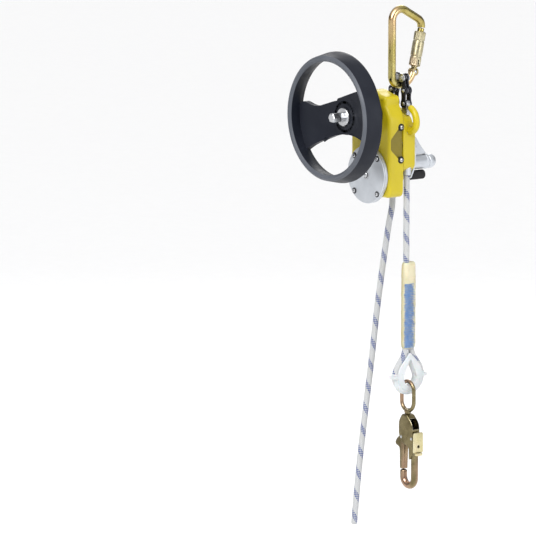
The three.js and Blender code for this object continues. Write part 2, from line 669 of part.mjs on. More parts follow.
// The rope's loop around the thimble, from one side of the splice to the other.
function eyePath() {
  const shoulderZ = SPLICE_BOTTOM_Z - 7;
  const reach = Math.hypot(ROPE_R, shoulderZ - EYE_Z);
  const toShoulder = Math.atan2(shoulderZ - EYE_Z, ROPE_R);
  const touch = toShoulder - Math.acos(EYE_WRAP_R / reach);
  const legEnd = [EYE_WRAP_R * Math.cos(touch), EYE_WRAP_R * Math.sin(touch)];
  const bendEnd = [0.3 * legEnd[0] + 0.7 * ROPE_R, EYE_Z + 0.3 * legEnd[1] + 0.7 * (shoulderZ - EYE_Z)];
  const path = new THREE.Path();
  path.moveTo(EYE_Y + ROPE_R, SPLICE_BOTTOM_Z - GAP);
  path.quadraticCurveTo(EYE_Y + ROPE_R, shoulderZ, EYE_Y + bendEnd[0], bendEnd[1]);
  path.absarc(EYE_Y, EYE_Z, EYE_WRAP_R, touch, Math.PI - touch, true);
  path.lineTo(EYE_Y - bendEnd[0], bendEnd[1]);
  path.quadraticCurveTo(EYE_Y - ROPE_R, shoulderZ, EYE_Y - ROPE_R, SPLICE_BOTTOM_Z - GAP);
  return path;
}

// A drop shape in Y and Z: a circle below, drawn up to a point.
function dropShape(radius, centreZ, apexZ) {
  const touch = Math.asin(radius / (apexZ - centreZ));
  const shape = new THREE.Shape();
  shape.absarc(EYE_Y, centreZ, radius, Math.PI - touch, touch + 2 * Math.PI, false);
  shape.lineTo(EYE_Y, apexZ);
  return shape;
}

function makeThimble() {
  const outer = plateYZ(dropShape(24.5, EYE_Z, -521), [LOAD_X - THIMBLE_HALF, LOAD_X + THIMBLE_HALF], 12);
  const hole = plateYZ(dropShape(THIMBLE_HOLE_R, THIMBLE_HOLE_Z, -530), [LOAD_X - 9, LOAD_X + 9], 10);
  const straps = block([LOAD_X - THIMBLE_HALF, LOAD_X + THIMBLE_HALF],
    [EYE_Y - 33, EYE_Y + 33], [-561, -556]);
  const groove = bar(new PlaneCurve(eyePath(), onPlaneX(LOAD_X)), ROPE_R + GAP, 28, 8);
  addPiece('thimble', cut(union(outer, straps), hole, groove), FINISH.milkyPlastic);
}

function makeLifeline() {
  const tail = new THREE.CatmullRomCurve3([
    new THREE.Vector3(TAIL_X, 0, TAIL_EXIT_Z), new THREE.Vector3(-17.4, -0.6, -300),
    new THREE.Vector3(-22, -4.5, -335), new THREE.Vector3(-33, -13.5, -440),
    new THREE.Vector3(-41.5, -20.2, -540), new THREE.Vector3(-49.5, -26.8, -630),
    new THREE.Vector3(-56.5, -32.5, -715), new THREE.Vector3(-62, -37, -799.5),
  ]);
  const load = new THREE.LineCurve3(
    new THREE.Vector3(LOAD_X, 0, LOAD_EXIT_Z), new THREE.Vector3(LOAD_X, 0, SPLICE_TOP_Z + GAP));
  const splice = new THREE.Shape();
  const spliceR = 7.6;
  splice.absarc(LOAD_X, 0, spliceR, Math.PI, 2 * Math.PI, false);
  splice.absarc(LOAD_X, 2 * EYE_Y, spliceR, 0, Math.PI, false);
  const sleeve = new THREE.ExtrudeGeometry(splice,
    { depth: SPLICE_TOP_Z - SPLICE_BOTTOM_Z, bevelEnabled: false, curveSegments: 8 });
  sleeve.translate(0, 0, SPLICE_BOTTOM_Z);
  addPiece('rope_inside', bar(new PlaneCurve(innerRopePath(), onPlaneY(0)), ROPE_R, 36, 8),
    FINISH.whiteRope);
  addPiece('rope_load', bar(load, ROPE_R, 5, 10), FINISH.whiteRope);
  addPiece('rope_tail', bar(tail, ROPE_R, 20, 10), FINISH.whiteRope);
  addPiece('rope_eye', bar(new PlaneCurve(eyePath(), onPlaneX(LOAD_X)), ROPE_R - 0.05, 28, 8),
    FINISH.whiteRope);
  addPiece('splice_sleeve', sleeve, FINISH.creamSleeve);
  addPiece('load_exit_bush', ropeBush(LOAD_X, -246, -234), FINISH.castSilver);
  addPiece('tail_exit_bush', ropeBush(TAIL_X, -276, -264), FINISH.castSilver);
}

// ---- Snap hook ---------------------------------------------------------------------------------

const WIRE_R = 3;
const RING_R = 14.3; // centre of the wire, at the round ends of the swivel eye
const RING_TOP_Z = -567.3;
const RING_FOOT_Z = -613;
const HOOK_BAR_R = 5.5;
const SPINE_X = 17; // hook features, to the side of the swivel
const NOSE_X = -9;
const BOW_Z = -717;
const GATE_PIVOT = [-6, -654];
const LOCK_PIVOT = [18, -654];
const RIVET_R = 2;

const hookGroup = new THREE.Group();
hookGroup.position.set(LOAD_X, EYE_Y, 0);
device.add(hookGroup);

// The bore for a rivet at a pivot.
function pivotHole([x, z]) {
  return rod(RIVET_R + GAP, [-20, 20], x, z, 16);
}

function swivelEye() {
  const ringPath = new THREE.Path();
  const footCentreZ = RING_FOOT_Z + RING_R;
  ringPath.absarc(0, RING_TOP_Z - RING_R, RING_R, 0, Math.PI, false);
  ringPath.absarc(0, footCentreZ, RING_R, Math.PI, 1.5 * Math.PI, false);
  const half = bar(new PlaneCurve(ringPath, onPlaneY(0)), WIRE_R, 18, 6);
  const quarterPath = new THREE.Path();
  quarterPath.absarc(0, footCentreZ, RING_R, 1.5 * Math.PI, 2 * Math.PI, false);
  quarterPath.lineTo(RING_R, RING_TOP_Z - RING_R);
  const quarter = bar(new PlaneCurve(quarterPath, onPlaneY(0)), WIRE_R, 8, 6);
  const joints = [[0, RING_FOOT_Z], [RING_R, RING_TOP_Z - RING_R]].map(([x, z]) => (
    new THREE.SphereGeometry(WIRE_R * 1.04, 8, 6).translate(x, 0, z)));
  return union(half, quarter, ...joints,
    upright(4.2, [-634, RING_FOOT_Z], 0), upright(6.2, [-638, -633.5], 0));
}

function hookBody() {
  const shank = plateXZ(shapeOf([
    [-5, -618], [6, -618], [20, -632], [20, -662], [23, -675], [11, -690], [11, -668], [-4, -664],
    [-13, -652], [-13, -629],
  ]), [-8, 8]);
  const path = new THREE.Path();
  const bowR = (SPINE_X - NOSE_X) / 2;
  path.moveTo(SPINE_X, -668);
  path.lineTo(SPINE_X, BOW_Z);
  path.absarc(NOSE_X + bowR, BOW_Z, bowR, 0, -Math.PI, true);
  path.lineTo(NOSE_X, -706);
  const bow = bar(new PlaneCurve(path, onPlaneY(0)), HOOK_BAR_R, 18, 8);
  const window = block([-7, 30], [-6.6, 6.6], [-640, -624]);
  const gateSlot = block([-30, 1], [-5, 5], [-680, -645]);
  const lockSlot = block([15, 30], [-2.8, 2.8], [-664, -645]);
  const swivelBore = upright(4.5, [-640, -600], 0);
  return cut(union(shank, bow), window, swivelBore, gateSlot, lockSlot,
    pivotHole(GATE_PIVOT), pivotHole(LOCK_PIVOT));
}

function hookGate() {
  const plate = plateXZ(shapeOf([
    [-10, -650], [-20, -656], [-21, -659], [-12, -661], [-13, -704], [-5, -704], [-2, -656], [-3, -650],
  ]), [-4.6, 4.6]);
  return cut(toSolid(plate), pivotHole(GATE_PIVOT));
}

// The release lever lies along the back of the hook and turns on a pin in a slot of the body.
function hookLock() {
  const plate = block([23.6, 26], [-9.5, 9.5], [-676, -644]);
  const lug = block([15.6, 24], [-2.4, 2.4], [-658, -650]);
  const toe = block([23.6, 29], [-6, 6], [-680, -676]);
  return cut(union(plate, lug, toe),
    pivotHole(LOCK_PIVOT),
    turned([[0, 20], [2.6, 20], [2.6, 30], [0, 30]], 16).rotateZ(-Math.PI / 2).translate(0, 0, -666));
}

function makeHook() {
  addPiece('hook_swivel_eye', swivelEye(), FINISH.hookSteel, hookGroup);
  addPiece('hook_body', hookBody(), FINISH.hookSteel, hookGroup);
  addPiece('hook_gate', hookGate(), FINISH.hookSteel, hookGroup);
  addPiece('hook_lock', hookLock(), FINISH.hookSteel, hookGroup);
  addPiece('hook_gate_rivet', rod(RIVET_R, [-9, 9], ...GATE_PIVOT, 16), FINISH.plainSteel, hookGroup);
  addPiece('hook_lock_rivet', rod(RIVET_R, [-9, 9], ...LOCK_PIVOT, 16), FINISH.plainSteel, hookGroup);
}

// ---- Assembly ----------------------------------------------------------------------------------

makeCarabiner();
makeChain();
makeAnchorPlate();
makeFrontShell();
makeRearShell();
makeMidPlate();
makeSideScrews();
makeWheelAxis();
makeSheaveAxis();
makeRoller();
makeBrakeAxis();
makeCleat();
makeThimble();
makeLifeline();
makeHook();

export default device;
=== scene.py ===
"""The rope rescue and descent device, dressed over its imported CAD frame: shapes, cords and materials."""

import json
import math
import random

import bmesh
import bpy
from mathutils import Matrix, Vector


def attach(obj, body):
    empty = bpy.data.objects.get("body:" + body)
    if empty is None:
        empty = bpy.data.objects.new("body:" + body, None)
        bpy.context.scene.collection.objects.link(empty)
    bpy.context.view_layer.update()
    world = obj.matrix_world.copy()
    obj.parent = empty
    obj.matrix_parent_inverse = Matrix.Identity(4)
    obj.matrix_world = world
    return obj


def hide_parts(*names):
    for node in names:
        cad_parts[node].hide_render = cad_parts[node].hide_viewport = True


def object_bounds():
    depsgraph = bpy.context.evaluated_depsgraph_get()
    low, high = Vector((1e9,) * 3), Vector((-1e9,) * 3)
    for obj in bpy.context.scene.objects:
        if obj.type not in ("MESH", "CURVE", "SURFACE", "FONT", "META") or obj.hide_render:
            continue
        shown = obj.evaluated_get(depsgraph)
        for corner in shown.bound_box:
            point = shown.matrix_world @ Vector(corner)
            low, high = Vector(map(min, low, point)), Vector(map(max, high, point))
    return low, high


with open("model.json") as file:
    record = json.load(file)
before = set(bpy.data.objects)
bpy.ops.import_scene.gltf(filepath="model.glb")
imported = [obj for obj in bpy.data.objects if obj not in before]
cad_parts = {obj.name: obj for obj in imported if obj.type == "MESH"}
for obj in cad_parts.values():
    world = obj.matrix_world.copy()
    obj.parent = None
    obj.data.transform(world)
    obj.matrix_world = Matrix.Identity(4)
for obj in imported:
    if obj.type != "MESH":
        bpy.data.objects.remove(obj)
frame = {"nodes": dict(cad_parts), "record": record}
CAD_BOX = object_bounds()
RNG = random.Random(7)

# ---- Sizes and places, in millimetres ---------------------------------------------------------

MM = 0.001
ROPE_D = 9.5
ROPE_R = ROPE_D / 2
AXIS_X = -21  # the casing's middle, which holds the wheel, the sheave and the brake
WHEEL_Z, SHEAVE_Z, BRAKE_Z = -154, -200, -246
LOAD_X, LOAD_EXIT_Z = 16.7, -247
TAIL_X, TAIL_EXIT_Z = -16.75, -280
SPLICE_TOP_Z, SPLICE_BOTTOM_Z = -381, -515
EYE_Y, EYE_Z, EYE_WRAP_R = 4.75, -557, 25.5
BAND_TOP_Z, BAND_BOTTOM_Z = -414, -513  # the sewn band on the splice
BAND_MIDDLE, BAND_HALF = -22, 36  # degrees round the splice
STRANDS = 12  # of the rope's braid, one way round
LAY = 34.5  # of rope for one turn of a strand
HALF_WIDTH = 46.5  # of the casing
FRONT_Y = -42
SIDE_SCREW_Y = -19
SIDE_SCREW_ZS = (-171, -221)
WAIST_LOW, WAIST_HIGH = -221, -171  # the recess in each side wall
COVER_Y = -50.3  # the brake cover's face
CLEAT_X, CLEAT_PIN_Z = 5, -249.5
HOOK_PIN_Z, HOOK_GATE_X, HOOK_LOCK_X = -654, -6, 18


# ---- Camera, light and floor ------------------------------------------------------------------

def placed(name, data):
    made = bpy.data.objects.new(name, data)
    bpy.context.scene.collection.objects.link(made)
    return made


def make_camera():
    azimuth, elevation = math.radians(52), math.radians(9)
    distance, view_width = 6.0, 0.8146
    back = Vector((math.sin(azimuth) * math.cos(elevation),
                   -math.cos(azimuth) * math.cos(elevation), math.sin(elevation)))
    right = Vector((math.cos(azimuth), math.sin(azimuth), 0))
    up = back.cross(right)
    target = -0.2014 * right - 0.3875 * up
    data = bpy.data.cameras.new("camera")
    data.sensor_width = 36
    data.lens = data.sensor_width * distance / view_width
    data.clip_end = 50
    camera = placed("camera", data)
    camera.matrix_world = Matrix.Translation(target + distance * back) @ Matrix(
        (right, up, back)).transposed().to_4x4()
    bpy.context.scene.camera = camera


def area_light(name, place, aim, size, power, colour=(1, 1, 1)):
    data = bpy.data.lights.new(name, "AREA")
    data.size = size
    data.energy = power
    data.color = colour
    lamp = placed(name, data)
    lamp.location = place
    lamp.rotation_euler = (Vector(aim) - Vector(place)).to_track_quat("-Z", "Y").to_euler()


def make_studio():
    mesh = bpy.data.meshes.new("floor")
    half, drop = 60.0, 0.06
    floor_z = CAD_BOX[0][2] - drop
    mesh.from_pydata([(-half, -half, floor_z), (half, -half, floor_z), (half, half, floor_z),
                      (-half, half, floor_z)], [], [(0, 1, 2, 3)])
    floor = placed("floor", mesh)
    paper = Surface("floor_paper")
    grain = paper.noise(scale=40, detail=3)
    paper.principled(paper.mix(grain, (0.9, 0.9, 0.9), (0.93, 0.93, 0.93)), roughness=0.95)
    floor.data.materials.append(paper.material)
    make_sky()
    sun = bpy.data.lights.new("daylight", "SUN")
    sun.energy = 2.1
    sun.angle = 0.9
    lamp = placed("daylight", sun)
    lamp.rotation_euler = Vector((-0.55, 0.75, -1.0)).to_track_quat("-Z", "Y").to_euler()
    centre = (0, 0, -0.3)
    area_light("key", (0.9, -1.9, 0.9), centre, 0.7, 16)
    area_light("fill", (1.9, 0.6, 0.2), centre, 0.8, 9, (0.95, 0.97, 1.0))
    area_light("rim", (-1.4, 1.2, 0.9), centre, 0.8, 9)
    bpy.context.scene.view_settings.view_transform = "Standard"


def make_sky():
    """A sky that is pale at the horizon and overhead and dim between, for dark streaks in metal."""
    world = bpy.data.worlds.new("studio")
    bpy.context.scene.world = world
    world.use_nodes = True
    tree = world.node_tree
    height = tree.nodes.new("ShaderNodeSeparateXYZ")
    ramp = tree.nodes.new("ShaderNodeValToRGB")
    direction = tree.nodes.new("ShaderNodeTexCoord")
    tree.links.new(direction.outputs["Generated"], height.inputs[0])
    tree.links.new(height.outputs["Z"], ramp.inputs[0])
    tree.links.new(ramp.outputs[0], tree.nodes["Background"].inputs["Color"])
    horizon, overhead = ramp.color_ramp.elements
    horizon.color = (1.15, 1.16, 1.18, 1)
    overhead.color = (1.0, 1.0, 1.0, 1)
    for position, level in ((0.07, 1.15), (0.11, 0.06), (0.28, 0.14), (0.5, 0.75)):
        stop = ramp.color_ramp.elements.new(position)
        stop.color = (level, level, level * 1.02, 1)
    tree.nodes["Background"].inputs["Strength"].default_value = 0.75


# ---- Materials --------------------------------------------------------------------------------

class Surface:
    """One node material, built up with short calls."""

    def __init__(self, name):
        self.material = bpy.data.materials.new(name)
        self.material.use_nodes = True
        self.tree = self.material.node_tree
        self.tree.nodes.clear()
        self.place = self.node("ShaderNodeTexCoord").outputs["Object"]

    def node(self, kind, **settings):
        made = self.tree.nodes.new(kind)
        for key, value in settings.items():
            setattr(made, key, value)
        return made

    def plug(self, value, socket):
        if isinstance(value, bpy.types.NodeSocket):
            self.tree.links.new(value, socket)
        elif isinstance(value, tuple):
            socket.default_value = value if len(value) == 4 or socket.type == "VECTOR" else (*value, 1)
        else:
            socket.default_value = value

    def noise(self, scale, detail=2, roughness=0.5, stretch=None):
        made = self.node("ShaderNodeTexNoise")
        where = self.place
        if stretch:
            mapping = self.node("ShaderNodeMapping")
            self.plug(where, mapping.inputs["Vector"])
            mapping.inputs["Scale"].default_value = stretch
            where = mapping.outputs["Vector"]
        self.plug(where, made.inputs["Vector"])
        made.inputs["Scale"].default_value = scale
        made.inputs["Detail"].default_value = detail
        made.inputs["Roughness"].default_value = roughness
        return made.outputs["Fac"]

    def speckle(self, scale):
        made = self.node("ShaderNodeTexVoronoi")
        self.plug(self.place, made.inputs["Vector"])
        made.inputs["Scale"].default_value = scale
        return made.outputs["Distance"]

    def times(self, first, second):
        return self.maths("MULTIPLY", first, second)

    def maths(self, operation, first, second=0.0, third=0.0):
        made = self.node("ShaderNodeMath", operation=operation)
        for value, socket in zip((first, second, third), made.inputs):
            self.plug(value, socket)
        return made.outputs[0]

    def ramp(self, value, low, high, to_low=0.0, to_high=1.0):
        made = self.node("ShaderNodeMapRange")
        for item, socket in zip((value, low, high, to_low, to_high), made.inputs):
            self.plug(item, socket)
        return made.outputs[0]

    def cloud(self, scale, detail, *limits):
        """Soft patches: noise that runs from 0 to 1, or other values, between two limits."""
        return self.ramp(self.noise(scale, detail), *limits)

    def mix(self, factor, first, second):
        made = self.node("ShaderNodeMix", data_type="RGBA")
        self.plug(factor, made.inputs["Factor"])
        self.plug(first, made.inputs["A"])
        self.plug(second, made.inputs["B"])
        return made.outputs["Result"]

    def edges(self, spread):
        """1 on convex edges, falling to 0 on flat faces."""
        bevel = self.node("ShaderNodeBevel", samples=4)
        bevel.inputs["Radius"].default_value = spread
        plain = self.node("ShaderNodeNewGeometry")
        dot = self.node("ShaderNodeVectorMath", operation="DOT_PRODUCT")
        self.plug(bevel.outputs["Normal"], dot.inputs[0])
        self.plug(plain.outputs["Normal"], dot.inputs[1])
        return self.ramp(dot.outputs["Value"], 0.995, 0.9)

    def hollows(self, reach):
        """0 in open places, 1 in corners and recesses: the mask for painted shade."""
        shade = self.node("ShaderNodeAmbientOcclusion", samples=4)
        shade.inputs["Distance"].default_value = reach
        return self.ramp(shade.outputs["AO"], 0.85, 0.3)

    def bump(self, height, strength, distance):
        made = self.node("ShaderNodeBump")
        self.plug(height, made.inputs["Height"])
        made.inputs["Strength"].default_value = strength
        made.inputs["Distance"].default_value = distance
        return made.outputs["Normal"]

    def principled(self, colour, roughness, metallic=0.0, normal=None, **others):
        shader = self.node("ShaderNodeBsdfPrincipled")
        self.plug(colour, shader.inputs["Base Color"])
        self.plug(roughness, shader.inputs["Roughness"])
        self.plug(metallic, shader.inputs["Metallic"])
        if normal is not None:
            self.plug(normal, shader.inputs["Normal"])
        for name, value in others.items():
            self.plug(value, shader.inputs[name.replace("_", " ")])
        output = self.node("ShaderNodeOutputMaterial")
        self.plug(shader.outputs[0], output.inputs["Surface"])
        return self.material


def passivated_steel(name, base, tint, hollow_shade_colour, roughness):
    """Zinc with a yellow passivation: drifting gold, olive and pink, painted shade in the hollows and painted
    highlights on the edges.
    """
    s = Surface(name)
    drift = s.cloud(55, 3, 0.35, 0.65)
    blush = s.ramp(s.noise(24, 2, stretch=(1, 1, 0.4)), 0.48, 0.72)
    colour = s.mix(drift, base, tint)
    colour = s.mix(s.times(blush, 0.55), colour, (0.78, 0.46, 0.36))
    # Painted shade: darker in hollows and corners.
    colour = s.mix(s.times(s.hollows(0.004), 0.8), colour, hollow_shade_colour)
    # Painted highlight: lighter and paler on convex edges.
    colour = s.mix(s.times(s.edges(0.0009), 0.7), colour, (0.86, 0.82, 0.66))
    scratches = s.noise(420, 2, stretch=(1, 1, 0.15))
    rough = s.cloud(160, 3, 0.3, 0.7, roughness - 0.07, roughness + 0.1)
    return s.principled(colour, rough, 1.0, s.bump(scratches, 0.12, 0.0002))


def plain_steel(name, base, roughness, grain_strength=0.15):
    s = Surface(name)
    cloud = s.cloud(70, 3, 0.35, 0.65)
    colour = s.mix(cloud, base, tuple(0.82 * c for c in base))
    # Painted shade: near black in hollows and corners.
    colour = s.mix(s.times(s.hollows(0.003), 0.6), colour, (0.05, 0.05, 0.05))
    # Painted highlight: lighter on convex edges.
    colour = s.mix(s.times(s.edges(0.0006), 0.6), colour, (0.85, 0.86, 0.88))
    grain = s.noise(520, 2, stretch=(1, 0.2, 1))
    rough = s.cloud(210, 2, 0.3, 0.7, roughness - 0.06, roughness + 0.08)
    return s.principled(colour, rough, 1.0, s.bump(grain, grain_strength, 0.0002))


def black_chain_steel():
    s = Surface("chain_steel")
    # Lighter in patches on convex edges: rubbed bare, and painted highlight.
    edge_wear_and_highlight = s.times(s.edges(0.0007), s.cloud(300, 3, 0.4, 0.6))
    colour = s.mix(s.noise(140, 3), (0.012, 0.013, 0.018), (0.04, 0.042, 0.055))
    colour = s.mix(edge_wear_and_highlight, colour, (0.5, 0.51, 0.53))
    rough = s.cloud(260, 2, 0.3, 0.7, 0.32, 0.5)
    return s.principled(colour, rough, 0.85, s.bump(s.noise(600, 2), 0.15, 0.0002))


def yellow_paint(name, dark, light):
    """Satin powder coat over a casting: orange peel, dirt and painted shade in the corners, rubbed edges."""
    s = Surface(name)
    tone = s.cloud(14, 3, 0.35, 0.65)
    colour = s.mix(tone, dark, light)
    # Darker in corners and recesses, stronger in patches: dirt and painted shade.
    grime_and_corner_shade = s.times(s.hollows(0.012), s.cloud(45, 4, 0.3, 0.75, 0.25, 0.8))
    colour = s.mix(grime_and_corner_shade, colour, (0.2, 0.14, 0.004))
    chips = s.times(s.edges(0.0011), s.cloud(190, 4, 0.58, 0.68))
    colour = s.mix(chips, colour, (0.55, 0.55, 0.5))
    scuffs = s.ramp(s.noise(34, 5, 0.7, stretch=(1, 1, 3)), 0.62, 0.75)
    colour = s.mix(s.times(scuffs, 0.25), colour, (0.5, 0.4, 0.06))
    peel = s.maths("ADD", s.speckle(420), s.times(s.noise(900, 2), 0.5))
    rough = s.cloud(80, 3, 0.3, 0.7, 0.34, 0.5)
    return s.principled(colour, rough, 0.0, s.bump(peel, 0.16, 0.0003), Coat_Weight=0.15,
                        Coat_Roughness=0.3)


def cast_aluminium():
    s = Surface("cast_silver")
    base = (0.62, 0.65, 0.69)
    cloud = s.cloud(36, 4, 0.35, 0.65)
    colour = s.mix(cloud, base, tuple(0.88 * c for c in base))
    # Painted shade: dark in hollows and corners.
    colour = s.mix(s.times(s.hollows(0.005), 0.55), colour, (0.1, 0.1, 0.11))
    # Painted highlight: lighter on convex edges.
    colour = s.mix(s.times(s.edges(0.0008), 0.5), colour, (0.85, 0.87, 0.9))
    sand = s.noise(700, 3)
    rough = s.cloud(120, 3, 0.3, 0.7, 0.36, 0.5)
    return s.principled(colour, rough, 0.85, s.bump(sand, 0.2, 0.0002))


def moulded_plastic(name, base, light, roughness, grain=520):
    """Injection-moulded plastic with a fine leather grain, lighter on its edges: rubbed by hands there, and
    painted highlight.
    """
    s = Surface(name)
    # Lighter on convex edges, more in patches: rubbed, and painted highlight.
    wear_and_edge_highlight = s.times(s.edges(0.0016), s.cloud(60, 4, 0.35, 0.65, 0.3, 1.0))
    dust = s.cloud(22, 4, 0.5, 0.75, 0.0, 0.2)
    colour = s.mix(dust, base, light)
    colour = s.mix(s.times(wear_and_edge_highlight, 0.55), colour, light)
    pebble = s.maths("ADD", s.speckle(grain), s.times(s.noise(grain * 2, 2), 0.4))
    rough = s.cloud(50, 3, 0.3, 0.7, roughness - 0.08, roughness + 0.08)
    return s.principled(colour, rough, 0.0, s.bump(pebble, 0.22, 0.0003), Specular_IOR_Level=0.25)


def braided_rope():
    """A braid with blue tracers, read from the tube's UVs: u is metres along it, v is once around."""
    s = Surface("white_rope")
    tracers = 4
    uv = s.node("ShaderNodeSeparateXYZ")
    s.plug(s.node("ShaderNodeTexCoord").outputs["UV"], uv.inputs[0])
    along = s.times(uv.outputs["X"], STRANDS / (LAY * MM))
    around = s.times(uv.outputs["Y"], float(STRANDS))
    right = s.maths("ADD", along, around)
    left = s.maths("SUBTRACT", along, around)
    right_cell = s.maths("FLOOR", right)
    left_cell = s.maths("FLOOR", left)
    parity = s.maths("FLOORED_MODULO", s.maths("ADD", right_cell, left_cell), 2.0)
    right_round = s.maths("SINE", s.times(s.maths("FRACT", right), math.pi))
    left_round = s.maths("SINE", s.times(s.maths("FRACT", left), math.pi))
    height = s.times(right_round, left_round)
    right_on_top = s.maths("COMPARE", parity, 0.0, 0.5)
    picked = s.maths("FLOORED_MODULO", right_cell, float(STRANDS))
    shown = s.maths("MAXIMUM", right_on_top, 0.2)
    tracer = s.times(s.maths("LESS_THAN", picked, tracers - 0.5), shown)
    ink = s.times(tracer, s.ramp(height, 0.03, 0.12))
    fibre = s.noise(1500, 2)
    soil = s.cloud(38, 4, 0.45, 0.75, 0.0, 0.4)
    # Painted shade: grey between the strands, lighter on their crowns.
    white = s.mix(s.ramp(height, 0.0, 0.6), (0.3, 0.31, 0.33), (0.66, 0.67, 0.67))
    white = s.mix(soil, white, (0.5, 0.49, 0.44))
    blue = s.mix(fibre, (0.001, 0.022, 0.16), (0.003, 0.05, 0.3))
    colour = s.mix(ink, white, blue)
    relief = s.maths("ADD", height, s.times(fibre, 0.35))
    return s.principled(colour, 0.85, 0.0, s.bump(relief, 0.8, 0.0005), Sheen_Weight=0.25)


def splice_cover():
    """A milky heat-shrunk cover with the blue zigzag stitching of the splice showing through."""
    s = Surface("cream_sleeve")
    at = s.node("ShaderNodeSeparateXYZ")
    s.plug(s.place, at.inputs[0])
    z = at.outputs["Z"]
    uv = s.node("ShaderNodeSeparateXYZ")
    s.plug(s.node("ShaderNodeTexCoord").outputs["UV"], uv.inputs[0])
    round_it = s.maths("ADD", uv.outputs["Y"], 0.25 - BAND_MIDDLE / 360)
    across = s.maths("SUBTRACT", s.maths("FLOORED_MODULO", round_it, 0.5), 0.25)
    above_zero = s.maths("ADD", z, 1.0)
    tooth = s.maths("PINGPONG", above_zero, 1.3 * MM)
    wobble = s.cloud(110, 3, 0.3, 0.7, -0.03, 0.02)
    half = s.maths("ADD", s.times(tooth, 22.0), s.maths("ADD", wobble, BAND_HALF / 360 - 0.012))
    distance = s.maths("SUBTRACT", half, s.maths("ABSOLUTE", across))
    band = s.ramp(distance, -0.004, 0.01)
    band = s.times(band, s.maths("LESS_THAN", z, BAND_TOP_Z * MM))
    band = s.times(band, s.maths("GREATER_THAN", z, BAND_BOTTOM_Z * MM))
    thread = s.ramp(s.maths("PINGPONG", above_zero, 0.65 * MM), 0.1 * MM, 0.5 * MM)
    blue = s.mix(thread, (0.012, 0.05, 0.15), (0.06, 0.17, 0.38))
    cream = s.mix(s.cloud(60, 4, 0.35, 0.65), (0.50, 0.46, 0.29), (0.64, 0.60, 0.42))
    # Painted shade: the cover darkens towards its flanks, away from the middle of the stitched band on each
    # side.
    edge = s.ramp(s.maths("ABSOLUTE", across), 0.12, 0.24)
    cream = s.mix(edge, cream, (0.42, 0.37, 0.17))
    patchy = s.cloud(170, 3, 0.3, 0.62, 0.35, 0.9)
    colour = s.mix(s.times(band, patchy), cream, blue)
    ripple = s.maths("ADD", s.noise(220, 3), s.times(s.times(band, thread), 0.8))
    return s.principled(colour, s.cloud(140, 3, 0.3, 0.7, 0.28, 0.45), 0.0,
                        s.bump(ripple, 0.5, 0.0006), Subsurface_Weight=0.15, Coat_Weight=0.2)


def milky_plastic():
    s = Surface("milky_plastic")
    cloud = s.cloud(50, 3, 0.35, 0.65)
    colour = s.mix(cloud, (0.56, 0.59, 0.6), (0.66, 0.68, 0.69))
    # Painted shade: darker in hollows and corners.
    colour = s.mix(s.times(s.hollows(0.004), 0.5), colour, (0.3, 0.32, 0.34))
    return s.principled(colour, s.cloud(200, 2, 0.3, 0.7, 0.25, 0.4), 0.0,
                        s.bump(s.noise(350, 3), 0.15, 0.0003), Subsurface_Weight=0.15,
                        Subsurface_Scale=0.003)


def sewing_thread():
    s = Surface("blue_thread")
    twist = s.noise(900, 2, stretch=(1, 1, 2))
    colour = s.mix(twist, (0.04, 0.12, 0.32), (0.16, 0.32, 0.6))
    return s.principled(colour, 0.6, 0.0, s.bump(twist, 0.4, 0.0003), Sheen_Weight=0.3)


def make_materials():
    made = {
        "chain_steel": black_chain_steel(),
        "cast_silver": cast_aluminium(),
        "white_rope": braided_rope(),
        "cream_sleeve": splice_cover(),
        "milky_plastic": milky_plastic(),
        "blue_thread": sewing_thread(),
    }
    for finish, looks in (
        (passivated_steel, {
            # The third colour of each is the painted shade in its hollows.
            "gold_steel": ((0.40, 0.32, 0.09), (0.54, 0.47, 0.18), (0.06, 0.045, 0.01), 0.24),
            "satin_sleeve": ((0.42, 0.37, 0.22), (0.52, 0.47, 0.31), (0.08, 0.06, 0.03), 0.34),
            "hook_steel": ((0.15, 0.122, 0.06), (0.25, 0.21, 0.11), (0.022, 0.017, 0.009), 0.28),
            "latch_steel": ((0.6, 0.53, 0.27), (0.7, 0.64, 0.4), (0.12, 0.09, 0.03), 0.3)}),
        (plain_steel, {
            "plain_steel": ((0.62, 0.63, 0.65), 0.3),
            "bronze": ((0.5, 0.34, 0.14), 0.4),
            "brake_lining": ((0.16, 0.13, 0.1), 0.7, 0.4)}),
        (yellow_paint, {
            "yellow_paint": ((0.54, 0.43, 0.0005), (0.62, 0.5, 0.003)),
            # A darker copy of the yellow paint: painted shade for the floors of the side recesses.
            "recess_paint": ((0.2, 0.155, 0.001), (0.25, 0.195, 0.003))}),
        (moulded_plastic, {
            "black_plastic": ((0.008, 0.010, 0.017), (0.03, 0.034, 0.046), 0.5),
            # A lighter copy of the black plastic: painted highlight for the wheel rim's front bevel.
            "wheel_bevel": ((0.085, 0.093, 0.11), (0.2, 0.21, 0.23), 0.42, 700),
            "black_rubber": ((0.015, 0.015, 0.016), (0.06, 0.06, 0.06), 0.7, 300)}),
    ):
        made.update({name: finish(name, *values) for name, values in looks.items()})
    return made


# ---- Mesh helpers: drawn in millimetres, turned to metres when a piece is made -----------------

def soften(points, radius, steps=6, closed=True):
    """Rounds the corners of an outline. A point may carry its own radius as a third number."""
    count = len(points)
    smooth = []
    for i, point in enumerate(points):
        here = Vector(point[:2])
        own = point[2] if len(point) > 2 else radius
        if own == 0 or (not closed and i in (0, count - 1)):
            smooth.append(here)
            continue
        before = Vector(points[i - 1][:2]) - here
        after = Vector(points[(i + 1) % count][:2]) - here
        reach = min(own, 0.48 * before.length, 0.48 * after.length)
        start = here + reach * before.normalized()
        end = here + reach * after.normalized()
        for k in range(steps + 1):
            t = k / steps
            smooth.append((1 - t) ** 2 * start + 2 * t * (1 - t) * here + t * t * end)
    return smooth


